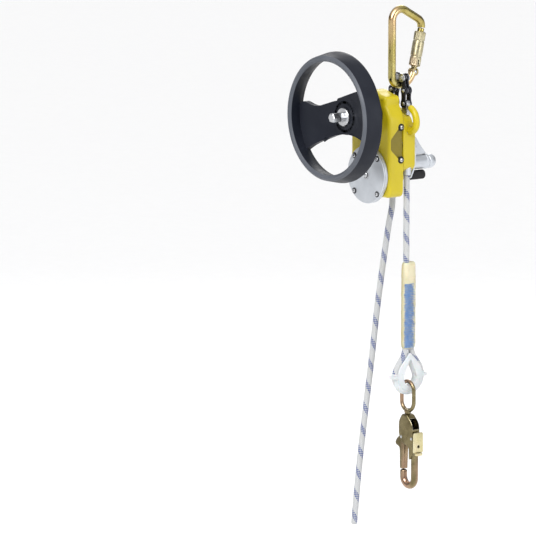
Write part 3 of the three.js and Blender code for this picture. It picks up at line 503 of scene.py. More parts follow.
def arc(cx, cz, radius, start, end, steps=16):
    """Points round a circle, with the angles in degrees."""
    angles = [math.radians(start + (end - start) * k / steps) for k in range(steps + 1)]
    return [Vector((cx + radius * math.cos(a), cz + radius * math.sin(a))) for a in angles]


def shifted(outline, amount):
    """Moves each corner of a closed anticlockwise outline inwards along its bisector."""
    count = len(outline)
    moved = []
    for i, here in enumerate(outline):
        first = (here - outline[i - 1]).normalized()
        second = (outline[(i + 1) % count] - here).normalized()
        normal = Vector((-first.y - second.y, first.x + second.x))
        if normal.length < 1e-6:
            normal = Vector((-first.y, first.x))
        normal.normalize()
        moved.append(here + normal * (amount / max(0.5, normal.dot(Vector((-first.y, first.x))))))
    return moved


def inset(outline, amount, steps=6):
    """Moves an outline inwards. Corners that run into each other end at one place."""
    owner = list(range(len(outline)))
    points = [p.copy() for p in outline]
    for _ in range(steps if amount > 0 else 0):
        moved = shifted(points, amount / steps)
        count = len(points)
        turned = [(moved[(k + 1) % count] - moved[k]).dot(points[(k + 1) % count] - points[k]) <= 1e-9
                  for k in range(count)]
        if not any(turned):
            points = moved
            continue
        start = next(k for k in range(count) if not turned[k - 1])
        group, kept = {}, []
        for k in [(start + n) % count for n in range(count)]:
            if kept and turned[k - 1] and k != start:
                kept[-1].append(k)
            else:
                kept.append([k])
        points = []
        for index, members in enumerate(kept):
            points.append(sum((moved[k] for k in members), Vector((0, 0))) / len(members))
            group.update({k: index for k in members})
        owner = [group[k] for k in owner]
    return [points[k].copy() for k in owner]


def signed_area(outline):
    return 0.5 * sum(a.x * b.y - b.x * a.y for a, b in zip(outline, outline[1:] + outline[:1]))


def clean(outline):
    """Drops repeated points and puts an outline anticlockwise."""
    kept = [p for i, p in enumerate(outline) if (p - outline[i - 1]).length > 1e-4]
    return kept if signed_area(kept) > 0 else kept[::-1]


def rounded_prism(outline, low, high, edge=0.0, steps=4, to_world=None, low_edge=None):
    """A solid from an outline in (X, Z) between two Y planes, with round rims."""
    outline = clean([Vector(p) for p in outline])
    if edge:
        turns = [math.pi / 2 * k / steps for k in range(steps + 1)]
        first = low_edge or edge
        layers = [(low + first * (1 - math.cos(a)), first * (1 - math.sin(a))) for a in turns]
        layers += [(high - edge * (1 - math.cos(a)), edge * (1 - math.sin(a))) for a in turns[::-1]]
    else:
        layers = [(low, 0.0), (high, 0.0)]
    bm = bmesh.new()
    rings = [[bm.verts.new((p.x, y, p.y)) for p in inset(outline, shrink)] for y, shrink in layers]
    skin(bm, rings)
    bm.faces.new(rings[0][::-1])
    bm.faces.new(rings[-1])
    return sealed(bm, to_world)


def skin(bm, rings):
    count = len(rings[0])
    for first, second in zip(rings, rings[1:]):
        for i in range(count):
            j = (i + 1) % count
            bm.faces.new((first[i], first[j], second[j], second[i]))


def sealed(bm, to_world=None):
    """Welds what coincides, turns faces outwards, and puts the solid in its place."""
    bmesh.ops.remove_doubles(bm, verts=bm.verts, dist=1e-4)
    if to_world is not None:
        bmesh.ops.transform(bm, matrix=to_world, verts=bm.verts)
    bmesh.ops.recalc_face_normals(bm, faces=bm.faces)
    return bm


def crosswise(x, side=1):
    """Stands a solid that is drawn across Y in a plane across X, facing either side."""
    return Matrix(((0, side, 0, x), (1, 0, 0, 0), (0, 0, 1, 0), (0, 0, 0, 1)))


def moved(bm, matrix):
    bmesh.ops.transform(bm, matrix=matrix, verts=bm.verts)
    return bm


def lathe(profile, segments=96, at=(0, 0, 0), axis="Y", ripple=None):
    """A turned solid from (radius, height) points. The outline closes on itself off the axis."""
    closed = profile[0][0] > 1e-6
    bm = bmesh.new()
    rings = []
    for radius, height in profile:
        if radius < 1e-6:
            rings.append([bm.verts.new((0, 0, height))])
            continue
        ring = []
        for k in range(segments):
            angle = 2 * math.pi * k / segments
            r = ripple(radius, height, angle) if ripple else radius
            ring.append(bm.verts.new((r * math.cos(angle), r * math.sin(angle), height)))
        rings.append(ring)
    pairs = list(zip(rings, rings[1:])) + ([(rings[-1], rings[0])] if closed else [])
    for first, second in pairs:
        for k in range(segments):
            j = (k + 1) % segments
            corners = [first[k % len(first)], first[j % len(first)],
                       second[j % len(second)], second[k % len(second)]]
            unique = list(dict.fromkeys(corners))
            if len(unique) > 2:
                bm.faces.new(unique)
    turns = {"Y": Matrix.Rotation(-math.pi / 2, 4, "X"), "X": Matrix.Rotation(math.pi / 2, 4, "Y"),
             "Z": Matrix.Identity(4)}
    return sealed(bm, Matrix.Translation(at) @ turns[axis])


def box(x, y, z):
    bm = bmesh.new()
    bmesh.ops.create_cube(bm, size=1)
    middle = Vector(((x[0] + x[1]) / 2, (y[0] + y[1]) / 2, (z[0] + z[1]) / 2))
    size = Vector((x[1] - x[0], y[1] - y[0], z[1] - z[0]))
    return sealed(bm, Matrix.Translation(middle) @ Matrix.Diagonal(size.to_4d()))


def rod(radius, low, high, x=0.0, z=0.0, segments=64, axis="Y", y=0.0):
    return lathe([(0, low), (radius, low), (radius, high), (0, high)], segments, (x, y, z), axis)


def spread(points, step):
    """Points a given step apart along a smooth curve through the given ones."""
    points = [Vector(p) for p in points]
    padded = [2 * points[0] - points[1], *points, 2 * points[-1] - points[-2]]
    fine = []
    for a, b, c, d in zip(padded, padded[1:], padded[2:], padded[3:]):
        count = max(2, int((c - b).length / step * 4))
        for k in range(count):
            t = k / count
            fine.append(0.5 * (2 * b + (c - a) * t + (2 * a - 5 * b + 4 * c - d) * t * t
                               + (3 * b - a - 3 * c + d) * t ** 3))
    fine.append(points[-1])
    return even(fine, step)


def even(points, step):
    """The same line, cut into equal steps."""
    lengths = [0.0]
    for a, b in zip(points, points[1:]):
        lengths.append(lengths[-1] + (b - a).length)
    count = max(2, round(lengths[-1] / step))
    result = []
    i = 0
    for k in range(count + 1):
        target = lengths[-1] * k / count
        while i < len(points) - 2 and lengths[i + 1] < target:
            i += 1
        span = max(1e-9, lengths[i + 1] - lengths[i])
        result.append(points[i].lerp(points[i + 1], (target - lengths[i]) / span))
    return result


def path_length(points):
    return sum((b - a).length for a, b in zip(points, points[1:]))


def tube(points, radius, sides=24, closed=False, shape=None):
    """A bar along a line. shape(distance, angle) may change its radius; UVs hold both."""
    bm = bmesh.new()
    uv = bm.loops.layers.uv.new("UVMap")
    count = len(points)
    tangents = []
    for i in range(count):
        before = points[i - 1] if closed or i > 0 else points[i]
        after = points[(i + 1) % count] if closed or i < count - 1 else points[i]
        tangents.append((after - before).normalized())
    side = Vector((0, 1, 0)) if abs(tangents[0].y) < 0.9 else Vector((1, 0, 0))
    side = (side - side.dot(tangents[0]) * tangents[0]).normalized()
    rings = []
    along = [0.0]
    for i in range(count):
        side = (side - side.dot(tangents[i]) * tangents[i]).normalized()
        other = tangents[i].cross(side)
        if i:
            along.append(along[-1] + (points[i] - points[i - 1]).length)
        ring = []
        for k in range(sides):
            angle = 2 * math.pi * k / sides
            r = radius(along[i]) if callable(radius) else radius
            r += shape(along[i], angle) if shape else 0.0
            ring.append(bm.verts.new(points[i] + r * (math.cos(angle) * side + math.sin(angle) * other)))
        rings.append(ring)
    steps = count if closed else count - 1
    for i in range(steps):
        j = (i + 1) % count
        far = along[j] if j else along[-1] + (points[0] - points[-1]).length
        for k in range(sides):
            n = (k + 1) % sides
            face = bm.faces.new((rings[i][k], rings[i][n], rings[j][n], rings[j][k]))
            corners = ((along[i], k), (along[i], k + 1), (far, k + 1), (far, k))
            for loop, (u, v) in zip(face.loops, corners):
                loop[uv].uv = (u * MM, v / sides)
    if not closed:
        bm.faces.new(rings[0][::-1])
        bm.faces.new(rings[-1])
    return sealed(bm)


def merged(solids):
    """Puts solids that don't touch into one mesh."""
    whole = bmesh.new()
    for solid in solids:
        mesh = bpy.data.meshes.new("part")
        solid.to_mesh(mesh)
        solid.free()
        whole.from_mesh(mesh)
        bpy.data.meshes.remove(mesh)
    return whole


def temporary(bm):
    mesh = bpy.data.meshes.new("tool")
    bm.to_mesh(mesh)
    bm.free()
    return placed("tool", mesh)


def carve(base, joins=(), cuts=(), keeps=()):
    """Joins solids to the first one, then keeps only what overlaps others, then cuts it."""
    body = temporary(base)
    tools = []
    for operation, group in (("UNION", joins), ("INTERSECT", keeps), ("DIFFERENCE", cuts)):
        for solid in group:
            tools.append(temporary(solid))
            step = body.modifiers.new("carve", "BOOLEAN")
            step.operation = operation
            step.solver = "EXACT"
            step.object = tools[-1]
    result = bmesh.new()
    result.from_object(body, bpy.context.evaluated_depsgraph_get())
    for spent in [body, *tools]:
        mesh = spent.data
        bpy.data.objects.remove(spent)
        bpy.data.meshes.remove(mesh)
    bmesh.ops.remove_doubles(result, verts=result.verts, dist=1e-3)
    return result


def piece(name, bm, body, slot, replaces=(), crease=32, finish=None, extra=()):
    """Makes a named piece in metres, riding on a body, with the finish of a record slot."""
    bmesh.ops.scale(bm, vec=(MM, MM, MM), verts=bm.verts)
    mesh = bpy.data.meshes.new(name)
    bm.to_mesh(mesh)
    bm.free()
    for face in mesh.polygons:
        face.use_smooth = True
    mesh.set_sharp_from_angle(angle=math.radians(crease))
    made = placed(name, mesh)
    for look in (finish or slot, *extra):
        mesh.materials.append(MATERIALS[look])
    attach(made, body)
    if replaces:
        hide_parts(*replaces)
    return made


# ---- Lifeline: the cords come first ------------------------------------------------------------

def braid(along, angle):
    """The relief of the rope's braided cover at a distance along it and an angle round it."""
    u = along * STRANDS / LAY
    v = angle / (2 * math.pi) * STRANDS
    return 0.42 * math.sin(math.pi * ((u + v) % 1)) * math.sin(math.pi * ((u - v) % 1)) - 0.32


def eye_path():
    """The middle of the rope round the thimble, in Y and Z."""
    centre = Vector((0, EYE_Z))
    shoulder = SPLICE_BOTTOM_Z - 7
    reach = math.hypot(ROPE_R, shoulder - EYE_Z)
    touch = math.atan2(shoulder - EYE_Z, ROPE_R) - math.acos(EYE_WRAP_R / reach)
    leg = EYE_WRAP_R * Vector((math.cos(touch), math.sin(touch)))
    bend = 0.3 * leg + 0.7 * Vector((ROPE_R, shoulder - EYE_Z))
    neck = soften([(ROPE_R, SPLICE_BOTTOM_Z + 8), (ROPE_R, shoulder), bend], 6.5, closed=False)
    down = [*neck[:-1], bend + centre]
    lower = arc(0, 0, EYE_WRAP_R, math.degrees(touch), -180 - math.degrees(touch), 60)
    up = [Vector((-p.x, p.y)) for p in down[::-1]]
    line = down + [p + centre for p in lower] + up
    return [Vector((LOAD_X, EYE_Y + p.x, p.y)) for p in line]


def make_cords():
    """The running rope's tail and its loaded part, which ends in the sewn eye."""
    tail_route = spread([(TAIL_X, 0, TAIL_EXIT_Z), (-17.4, -0.6, -300), (-22, -4.5, -335), (-33, -13.5, -440),
                         (-41.5, -20.2, -540), (-49.5, -26.8, -630), (-56.5, -32.5, -715),
                         (-62, -37, -799.5)], 1.1)
    tail_length = path_length(tail_route)

    def sealed_end(along):
        left = tail_length - along
        return ROPE_R - (0.9 * (1 - left / 3) ** 2 if left < 3 else 0.0)

    tail = piece("lifeline_tail", tube(tail_route, sealed_end, 64, shape=braid), "casing", "white_rope",
                 ["rope_tail"], 80)
    load_route = even([Vector((LOAD_X, 0, LOAD_EXIT_Z)), Vector((LOAD_X, 0, SPLICE_BOTTOM_Z + 1))], 1.1)
    load = piece("lifeline_load", tube(load_route, ROPE_R, 64, shape=braid), "casing", "white_rope",
                 ["rope_load"], 80)
    eye = piece("lifeline_eye", tube(even(eye_path(), 1.1), ROPE_R, 64, shape=braid), "casing",
                "white_rope", ["rope_eye"], 80)
    cover = make_splice_cover()
    thimble = make_thimble()
    guard = make_eye_sheath()
    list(make_stitching())


def cover_point(angle, z, lift=0.0):
    """A place on the splice cover, which is drawn in at its ends and softly wrinkled."""
    from_top = SPLICE_TOP_Z - z
    from_end = min(from_top, z - SPLICE_BOTTOM_Z) / (SPLICE_TOP_Z - SPLICE_BOTTOM_Z)
    lobe = 7.4 - 1.7 * math.exp(-from_end * 60) - 1.1 * math.exp(-from_top / 9) + lift
    lobe += 0.16 * math.sin(0.55 * z) * math.sin(0.13 * z + 1) + 0.07 * math.sin(1.7 * z)
    bulge = lobe + 0.12 * math.sin(3 * angle + 0.2 * z)
    y = math.sin(angle)
    shift = EYE_Y * (1 + max(-1.0, min(1.0, 3 * y)))
    return Vector((LOAD_X + bulge * math.cos(angle), shift + bulge * y, z))


def make_splice_cover():
    """A shrunk cover round both ropes of the splice."""
    bm = bmesh.new()
    uv = bm.loops.layers.uv.new("UVMap")
    layers, sides = 150, 72
    fall = SPLICE_BOTTOM_Z - SPLICE_TOP_Z
    heights = [SPLICE_TOP_Z + fall * i / layers for i in range(layers + 1)]
    rings = [[bm.verts.new(cover_point(2 * math.pi * k / sides, z)) for k in range(sides)] for z in heights]
    for i in range(layers):
        for k in range(sides):
            n = (k + 1) % sides
            face = bm.faces.new((rings[i][k], rings[i][n], rings[i + 1][n], rings[i + 1][k]))
            for loop, (row, column) in zip(face.loops, ((i, k), (i, k + 1), (i + 1, k + 1), (i + 1, k))):
                loop[uv].uv = (heights[row] * MM, column / sides)
    middle = Vector((LOAD_X, EYE_Y, 0))
    for ring, drop in ((rings[0], -3.0), (rings[-1], 3.0)):
        inner = []
        for vert in ring:
            inner.append(bm.verts.new((middle.x + 0.8 * (vert.co.x - middle.x),
                                       middle.y + 0.86 * (vert.co.y - middle.y), vert.co.z + drop)))
        skin(bm, [ring, inner])
        bm.faces.new(inner)
    return piece("splice_cover", sealed(bm), "casing", "cream_sleeve", ["splice_sleeve"], 50)


def make_stitching():
    """A zigzag of blue thread over each side of the splice."""
    made = []
    for name, middle in (("front", BAND_MIDDLE), ("back", BAND_MIDDLE + 180)):
        points = []
        z = float(BAND_TOP_Z)
        index = 0
        while z > BAND_BOTTOM_Z:
            reach = BAND_HALF + 6 * math.sin(0.45 * index) * math.sin(0.17 * index + middle)
            reach += RNG.uniform(-7, 7)
            for share in (-1.0, -0.5, 0.0, 0.5, 1.0):
                turn = share if index % 2 else -share
                points.append(cover_point(math.radians(middle + turn * reach), z - 0.6 * (share + 1), 0.1))
            z -= 1.25
            index += 1
        made.append(piece(f"splice_thread_{name}", tube(points, 0.42, 6), "casing", "cream_sleeve",
                          finish="blue_thread"))
    return made


def drop_outline(radius, centre_z, apex_z, steps=48):
    """A circle below, drawn up to a softened point."""
    touch = math.degrees(math.asin(radius / (apex_z - centre_z)))
    points = [(p.x, p.y, 0) for p in arc(EYE_Y, centre_z, radius, 180 - touch, 360 + touch, steps)]
    return soften([*points, (EYE_Y, apex_z, 4)], 0, 8)


def make_thimble():
    across = crosswise(LOAD_X)
    plate = rounded_prism(drop_outline(24.5, -557, -521), -6.2, 6.2, 1.4, to_world=across)
    hole = rounded_prism(drop_outline(13, -560.5, -530), -9, 9, to_world=across)
    tabs = [box((LOAD_X - 6.1, LOAD_X + 6.1), y, (-561, -556)) for y in ((-28.2, -17), (26.5, 37.7))]
    groove = tube(even(eye_path(), 3), ROPE_R + 0.1, 24)
    shape = carve(plate, joins=tabs, cuts=[hole, groove])
    return piece("eye_thimble", shape, "casing", "milky_plastic", ["thimble"], 30)


def make_eye_sheath():
    """The clear guard moulded round the lower half of the eye."""
    ring = arc(EYE_Y, EYE_Z, EYE_WRAP_R, 8, -188, 60)
    line = even([Vector((LOAD_X, p.x, p.y)) for p in ring], 1.2)
    length = path_length(line)

    def thickness(along):
        return 5.35 + (0.35 if min(along, length - along) < 3.2 else 0.0)

    return piece("eye_guard", tube(line, thickness, 36), "casing", "milky_plastic")


# ---- Carabiner ---------------------------------------------------------------------------------

HINGE = Vector((0, 26, -91))
NOSE = Vector((0, 41, -25))
GATE_AXIS = (NOSE - HINGE).normalized()
GATE_LENGTH = (NOSE - HINGE).length
ONTO_GATE = Matrix.Translation(HINGE) @ GATE_AXIS.to_track_quat("Z", "X").to_matrix().to_4x4()
STOCK_R = 6.0
SPINE_Y = -16.4
BOW_BOTTOM_Z = -109.0


def on_gate(bm):
    return moved(bm, ONTO_GATE)


def hinge_disc(radius, low, high):
    return lathe([(0, low), (radius, low), (radius, high), (0, high)], 64, HINGE, "X")


def carabiner_line():
    top_r, corner_r, knee_r = 17.0, 13.0, 20.0
    nose = NOSE + 0.6 * GATE_AXIS
    shoulder = [(1 - t) ** 2 * Vector((nose.y, nose.z)) + 2 * t * (1 - t) * Vector((42.5, -14))
                + t * t * Vector((33, -9.5)) for t in [k / 14 for k in range(14)]]
    line = shoulder + arc(SPINE_Y + top_r, STOCK_R - top_r, top_r, 55.1, 180, 26)
    line += arc(SPINE_Y + corner_r, BOW_BOTTOM_Z + corner_r, corner_r, 180, 270, 20)
    line += arc(3, BOW_BOTTOM_Z + knee_r, knee_r, -90, -35, 14)
    line.append(Vector((HINGE.y - 1.2, HINGE.z - 1.5)))
    return even([Vector((0, p.x, p.y)) for p in line], 1.2)


def flutes(radius, height, angle):
    """Grip flutes round both ends of the locking sleeve, fading out towards its middle."""
    end = min(height - 8.5, 62 - height)
    depth = 0.45 if 1.6 < end < 13 else 0.0
    return radius - depth * (0.5 + 0.5 * math.cos(22 * angle)) if radius > 8 else radius


def make_carabiner():
    bar = tube(carabiner_line(), STOCK_R, 40)
    slot = on_gate(box((-2.8, 2.8), (-7, 7), (0, 14)))
    body = carve(bar, joins=[hinge_disc(6, -5.5, 5.5)],
                 cuts=[hinge_disc(7, -2.8, 2.8), slot, hinge_disc(2.3, -9, 9)])
    piece("carabiner_bow", body, "carabiner", "gold_steel", ["carabiner_body"])
    head = [(0, -6.8), (2.2, -6.5), (2.6, -6), (2, -5.4)]
    pin = lathe(head + [(r, -y) for r, y in head[::-1]], 32, HINGE, "X")
    piece("carabiner_rivet", pin, "carabiner", "plain_steel", ["carabiner_hinge_pin"])
    top = GATE_LENGTH - 0.3
    stem = on_gate(lathe([(0, 7), (4.7, 7), (5.2, 7.5), (5.2, top - 0.8), (4.6, top), (0, top)], 48,
                         axis="Z"))
    tongue = on_gate(box((-2.4, 2.4), (-4, 4), (0, 8)))
    gate = carve(stem, joins=[tongue, hinge_disc(5, -2.4, 2.4)], cuts=[hinge_disc(2.3, -9, 9)])
    piece("carabiner_gate_bar", gate, "gate", "gold_steel", ["carabiner_gate"])
    profile = soften([
        (5.5, 8.5), (7.6, 8.5), (8.8, 9.7), (8.8, 22), (8.25, 22.6), (8.25, 24.2), (9, 25), (9, 46),
        (8.25, 46.8), (8.25, 48.4), (8.8, 49), (8.8, 60.8), (7.6, 62), (5.5, 62)], 0.35, 3)
    fine = []
    for a, b in zip(profile, profile[1:] + profile[:1]):
        steps = max(1, int((b - a).length))
        fine += [a.lerp(b, k / steps) for k in range(steps)]
    sleeve = on_gate(lathe(fine, 132, axis="Z", ripple=flutes))
    notches = [box((-1.1, 1.1), (4, 12), (8, 15)), box((-1.1, 1.1), (-12, -4), (8, 15)),
               rod(1.6, 4, 12, 0, 17, 32)]
    piece("carabiner_lock_sleeve", carve(sleeve, cuts=map(on_gate, notches)), "sleeve", "satin_sleeve",
          ["carabiner_sleeve"], 40)


# ---- Chain -------------------------------------------------------------------------------------

CHAIN_PITCH = 20.0
CHAIN_TOP_Z = -97.6
CHAIN_LEG_X = 14.5


def chain_pins():
    knee = CHAIN_TOP_Z - math.sqrt(CHAIN_PITCH ** 2 - (CHAIN_LEG_X - CHAIN_PITCH / 2) ** 2)
    right = [(CHAIN_PITCH / 2, CHAIN_TOP_Z), (CHAIN_LEG_X, knee), (CHAIN_LEG_X, knee - CHAIN_PITCH)]
    return [(-x, z) for x, z in right[::-1]] + right


def link_outline():
    """A figure of eight: two round lobes joined by a waist."""
    half = CHAIN_PITCH / 2
    right = arc(half, 0, 6.5, -118, 118, 30)
    left = arc(-half, 0, 6.5, 62, 298, 30)
    waist_top = [Vector((x, 4.3 + 1.2 * (x / 7) ** 2)) for x in (4, 0, -4)]
    waist_bottom = [Vector((-p.x, -p.y)) for p in waist_top]
    return right + waist_top + left + waist_bottom


def make_chain():
    """Five leaf links. The even ones carry the pins, the others the bushes on them."""
    end = [(0, -7), (1.6, -6.9), (2.5, -6.6), (2.9, -6.1), (3, -5.8)]
    pin = end + [(r, -y) for r, y in end[::-1]]
    bush = [(3.3, -3.8), (4.4, -3.8), (4.4, 3.8), (3.3, 3.8)]
    pins = chain_pins()
    for i, ((x0, z0), (x1, z1)) in enumerate(zip(pins, pins[1:])):
        outer = i % 2 == 0
        low, high = (4.1, 6.1) if outer else (1.8, 3.8)
        turn = Matrix.Rotation(-math.atan2(z1 - z0, x1 - x0), 4, "Y")
        place = Matrix.Translation(((x0 + x1) / 2, 0, (z0 + z1) / 2)) @ turn
        plates = merged([rounded_prism(link_outline(), near, far, 0.35, 3, place)
                         for near, far in ((low, high), (-high, -low))])
        # The crown link over the bow is bright plain steel: a painted highlight.
        piece(f"chain_plates_{i + 1}", plates, "casing", "chain_steel", [f"chain_link_{i + 1}"],
              finish="plain_steel" if i == 2 else None)
        profile = pin if outer else bush
        bars = merged([lathe(profile, 40, (x, 0, z)) for x, z in ((x0, z0), (x1, z1))])
        piece(f"chain_pins_{i + 1}", bars, "casing", "plain_steel")


def anchor_shape(grow, edge):
    outline = []
    foot = chain_pins()[0][1]
    half = 6 + grow
    low = -154 - grow
    for x in (CHAIN_LEG_X, -CHAIN_LEG_X):
        outline += [(p.x, p.y, 0) for p in arc(x, foot, half, 0, 180, 24)]
        if x > 0:
            outline += [(x - half, -148 + grow, 2), (-x + half, -148 + grow, 2)]
    outline += [(-CHAIN_LEG_X - half, low, 1), (CHAIN_LEG_X + half, low, 1)]
    return rounded_prism(soften(outline, 0, 5), -3.8 - grow, 3.8 + grow, edge)


def make_anchor():
    foot = chain_pins()[0][1]
    holes = [rod(3.3, -9, 9, x, foot, 40) for x in (-CHAIN_LEG_X, CHAIN_LEG_X)]
    piece("anchor_tongue", carve(anchor_shape(0, 0.5), cuts=holes), "casing", "plain_steel",
          ["anchor_plate"])


# ---- Casing ------------------------------------------------------------------------------------

def mirrored(right_half):
    right = [(AXIS_X + p[0], p[1], *p[2:]) for p in right_half]
    left = [(AXIS_X - p[0], p[1], *p[2:]) for p in right_half[::-1]]
    return right + left


def waist(side):
    """A tool for the recess in a side wall, wide at the parting line and narrow at the front."""
    sink = 3.1
    mouth = [(-38.5, -205, 3), (-38.5, -188, 3), (-22, WAIST_HIGH, 3), (-10, WAIST_HIGH, 1),
             (-10, WAIST_LOW, 1), (-22, WAIST_LOW, 3)]
    to_side = crosswise(AXIS_X, side)
    return rounded_prism(soften(mouth, 2, 5), HALF_WIDTH - sink, 60, 1.0, 3, to_side)


def make_front_shell():
    """The drive side of the casing: a shouldered top, a round foot and a collar round the brake."""
    outline = soften(mirrored([
        (6, -116.5, 5), (17, -121, 9), (36, -125, 5), (36, -137.5, 2), (HALF_WIDTH, -154.5, 12),
        (HALF_WIDTH, -279, 26), (22, -279, 2)]), 3, 8)
    shell = rounded_prism(outline, FRONT_Y, -14.15, 0.9, 7, low_edge=6.0)
    pocket = mirrored([(32.5, -141.5), (42.5, -156), (42.5, -164), (40.8, -169), (40.8, -223),
                       (42.5, -228), (42.5, -259), (26.5, -275)])
    screws = [rod(4.9, low, low + 3.4, 0, z, 32, "X", SIDE_SCREW_Y) for low in (23, -68.4)
              for z in SIDE_SCREW_ZS]
    cavity = rounded_prism(soften(pocket, 0), -38.5, 0)
    boss = rod(18, -41.5, -30.5, AXIS_X, WHEEL_Z)
    neck = lathe([(0, -50), (15.2, -50), (15.2, -42.2), (14, -41), (14, 0), (0, 0)], 96,
                 (AXIS_X, 0, WHEEL_Z))
    brake = lathe([(0, -50), (39.6, -50), (39.6, -42.1), (38.3, -40.8), (38.3, 0), (0, 0)], 128,
                  (AXIS_X, 0, BRAKE_Z))
    hollow = carve(shell, cuts=[cavity])
    made = carve(hollow, joins=[boss], cuts=[neck, brake, *screws, waist(1), waist(-1)])
    shell = piece("casing_front_shell", made, "casing", "yellow_paint", ["casing_front"], 28,
                  extra=["recess_paint"])
    # The faces of each side wall's recess get the second, darker yellow: painted shade.
    for face in shell.data.polygons:
        heights = [shell.data.vertices[i].co.z / MM for i in face.vertices]
        reach = abs(face.center.x / MM - AXIS_X)
        level = WAIST_LOW - 0.1 < min(heights) and max(heights) < WAIST_HIGH + 0.1
        if level and 43.0 < reach < HALF_WIDTH - 0.15:
            face.material_index = 1


def horn(side):
    """A curved prong that keeps the rope on its side; thick at its root and round at its tip."""
    path = spread([(AXIS_X + side * u, -1, z) for u, z in (
        (41.5, -178), (52, -177.5), (59.5, -171), (61, -161), (57, -150), (48, -142.5))], 1.0)
    length = path_length(path)

    def radius(along):
        left = length - along
        thick = 5.5 + 1.3 * max(0.0, 1 - along / 16) ** 1.5 - 0.5 * along / length
        return thick * math.sqrt(max(0.02, 1 - (1 - min(left, thick) / thick) ** 2))

    onward = (path[-1] - path[-2]).normalized()
    path += [path[-1] + onward * step for step in (1, 2, 3, 4)]
    length = path_length(path)
    return tube(path, radius, 32)


def make_rear_shell():
    """The rope side of the casing, with the sheave's boss, both horns and the rope ports."""
    outline = soften([
        (-10, -145, 6), (20.5, -166, 6), (25.5, -172, 4), (25.5, -233.5, 5), (7.5, -250, 3), (-4, -258, 6),
        (-7, -272, 4), (-44, -272, 10), (-67.5, -244, 12), (-67.5, -172, 4), (-62.5, -166, 6),
        (-32, -145, 6)], 4, 8)
    shell = rounded_prism(outline, -13.85, 10, 2.4, 5)
    shoulder = mirrored([(24, -144.6, 5), (HALF_WIDTH, -160, 9), (HALF_WIDTH, -190, 3)])
    shoulder = rounded_prism(soften(shoulder, 4, 8), -13.85, 4.5, 1.8, 4)
    boss = lathe([(0, 9), (21, 9), (19, 10.6), (18, 12.5), (18, 16.4), (17.5, 17.5), (16.4, 18), (0, 18)],
                 96, (AXIS_X, 0, SHEAVE_Z))
    roller = soften([(-58, -222), (-18, -222), (-10.5, -246), (-10.5, -262), (-19, -269.4), (-42, -269.4),
                     (-50, -250)], 4, 5)
    tools = [
        rod(44.4, -20, 7.6, AXIS_X, SHEAVE_Z, 128),
        rounded_prism(roller, -20, 7.6),
        rod(13.3, 0, 16, AXIS_X, SHEAVE_Z),
        rod(3.3, 0, 20, -29.5, -258, 32),
        port(7.3, -262, -230, LOAD_X),
        port(5.6, -260, -195, LOAD_X),
        port(7.3, -290, -262, TAIL_X),
        anchor_shape(0.3, 0),
    ]
    ribs = [rounded_prism(soften(rib, 1, 3), 9.4, 12, 0.9, 3) for rib in boss_ribs()]
    made = carve(shell, joins=[shoulder, horn(1), horn(-1), boss, *ribs], cuts=tools)
    piece("casing_rear_shell", made, "casing", "yellow_paint", ["casing_rear"], 28)


def boss_ribs():
    """Short cast ribs that run out from the sheave's boss."""
    centre = Vector((AXIS_X, SHEAVE_Z))
    ribs = []
    for angle in (150, 200, 250):
        out = Vector((math.cos(math.radians(angle)), math.sin(math.radians(angle))))
        side = Vector((-out.y, out.x))
        ribs.append([centre + out * 15 + side * 2.2, centre + out * 38 + side * 1.4,
                     centre + out * 38 - side * 1.4, centre + out * 15 - side * 2.2])
    return ribs


def port(radius, low, high, x):
    return lathe([(0, low), (radius, low), (radius, high), (0, high)], 48, (x, 0, 0), "Z")


def screw_head(radius, height, place, recess=0.5):
    """A domed head with a hexagon socket, facing along -Y before it is put in its place."""
    profile = [(0, -height), (0.55 * radius, -height), (0.82 * radius, -0.88 * height),
               (0.97 * radius, -0.55 * height), (radius, -0.2 * height), (radius, 0), (0, 0)]
    socket = lathe([(0, -height - 1), (recess * radius, -height - 1), (recess * radius, -0.35 * height),
                    (0, -0.2 * height)], 6)
    return moved(carve(lathe(profile, 48), cuts=[socket]), place)


def screw_shade_ring(profile, radius, height, place):
    """A black ring round a screw's head and a dark disc on the floor of the head's socket, both painted
    shade.
    """
    wide = 0.36 * radius
    floor = lathe([(0, -0.5 * height), (wide, -0.5 * height), (wide, -0.1 * height), (0, -0.1 * height)], 24)
    return moved(merged([lathe(profile, 48), floor]), place)


def make_side_screws():
    radius, height = 3.3, 2.4
    shade_ring_profile = [(3.2, 0.4), (5.6, 0.4), (5.6, -0.3), (5.3, -0.65), (3.2, -0.65)]
    for hand, x, side in (("right", 25.8, 1), ("left", -67.8, -1)):
        turn = Matrix.Rotation(side * math.pi / 2, 4, "Z")
        for level, z in zip(("upper", "lower"), SIDE_SCREW_ZS):
            name = f"{hand}_{level}"
            head = screw_head(radius, height, Matrix.Translation((x, SIDE_SCREW_Y, z)) @ turn, 0.4)
            piece(f"casing_screw_{name}", head, "casing", "plain_steel", [f"side_screw_{name}"], 30)
            # The black ring and socket disc at each screw are painted shade.
            sunk = Matrix.Translation((x - side * 0.35, SIDE_SCREW_Y, z)) @ turn
            piece(f"casing_screw_shade_ring_{name}", screw_shade_ring(shade_ring_profile, radius, height, sunk), "casing",
                  "black_rubber")


# ---- Wheel -------------------------------------------------------------------------------------

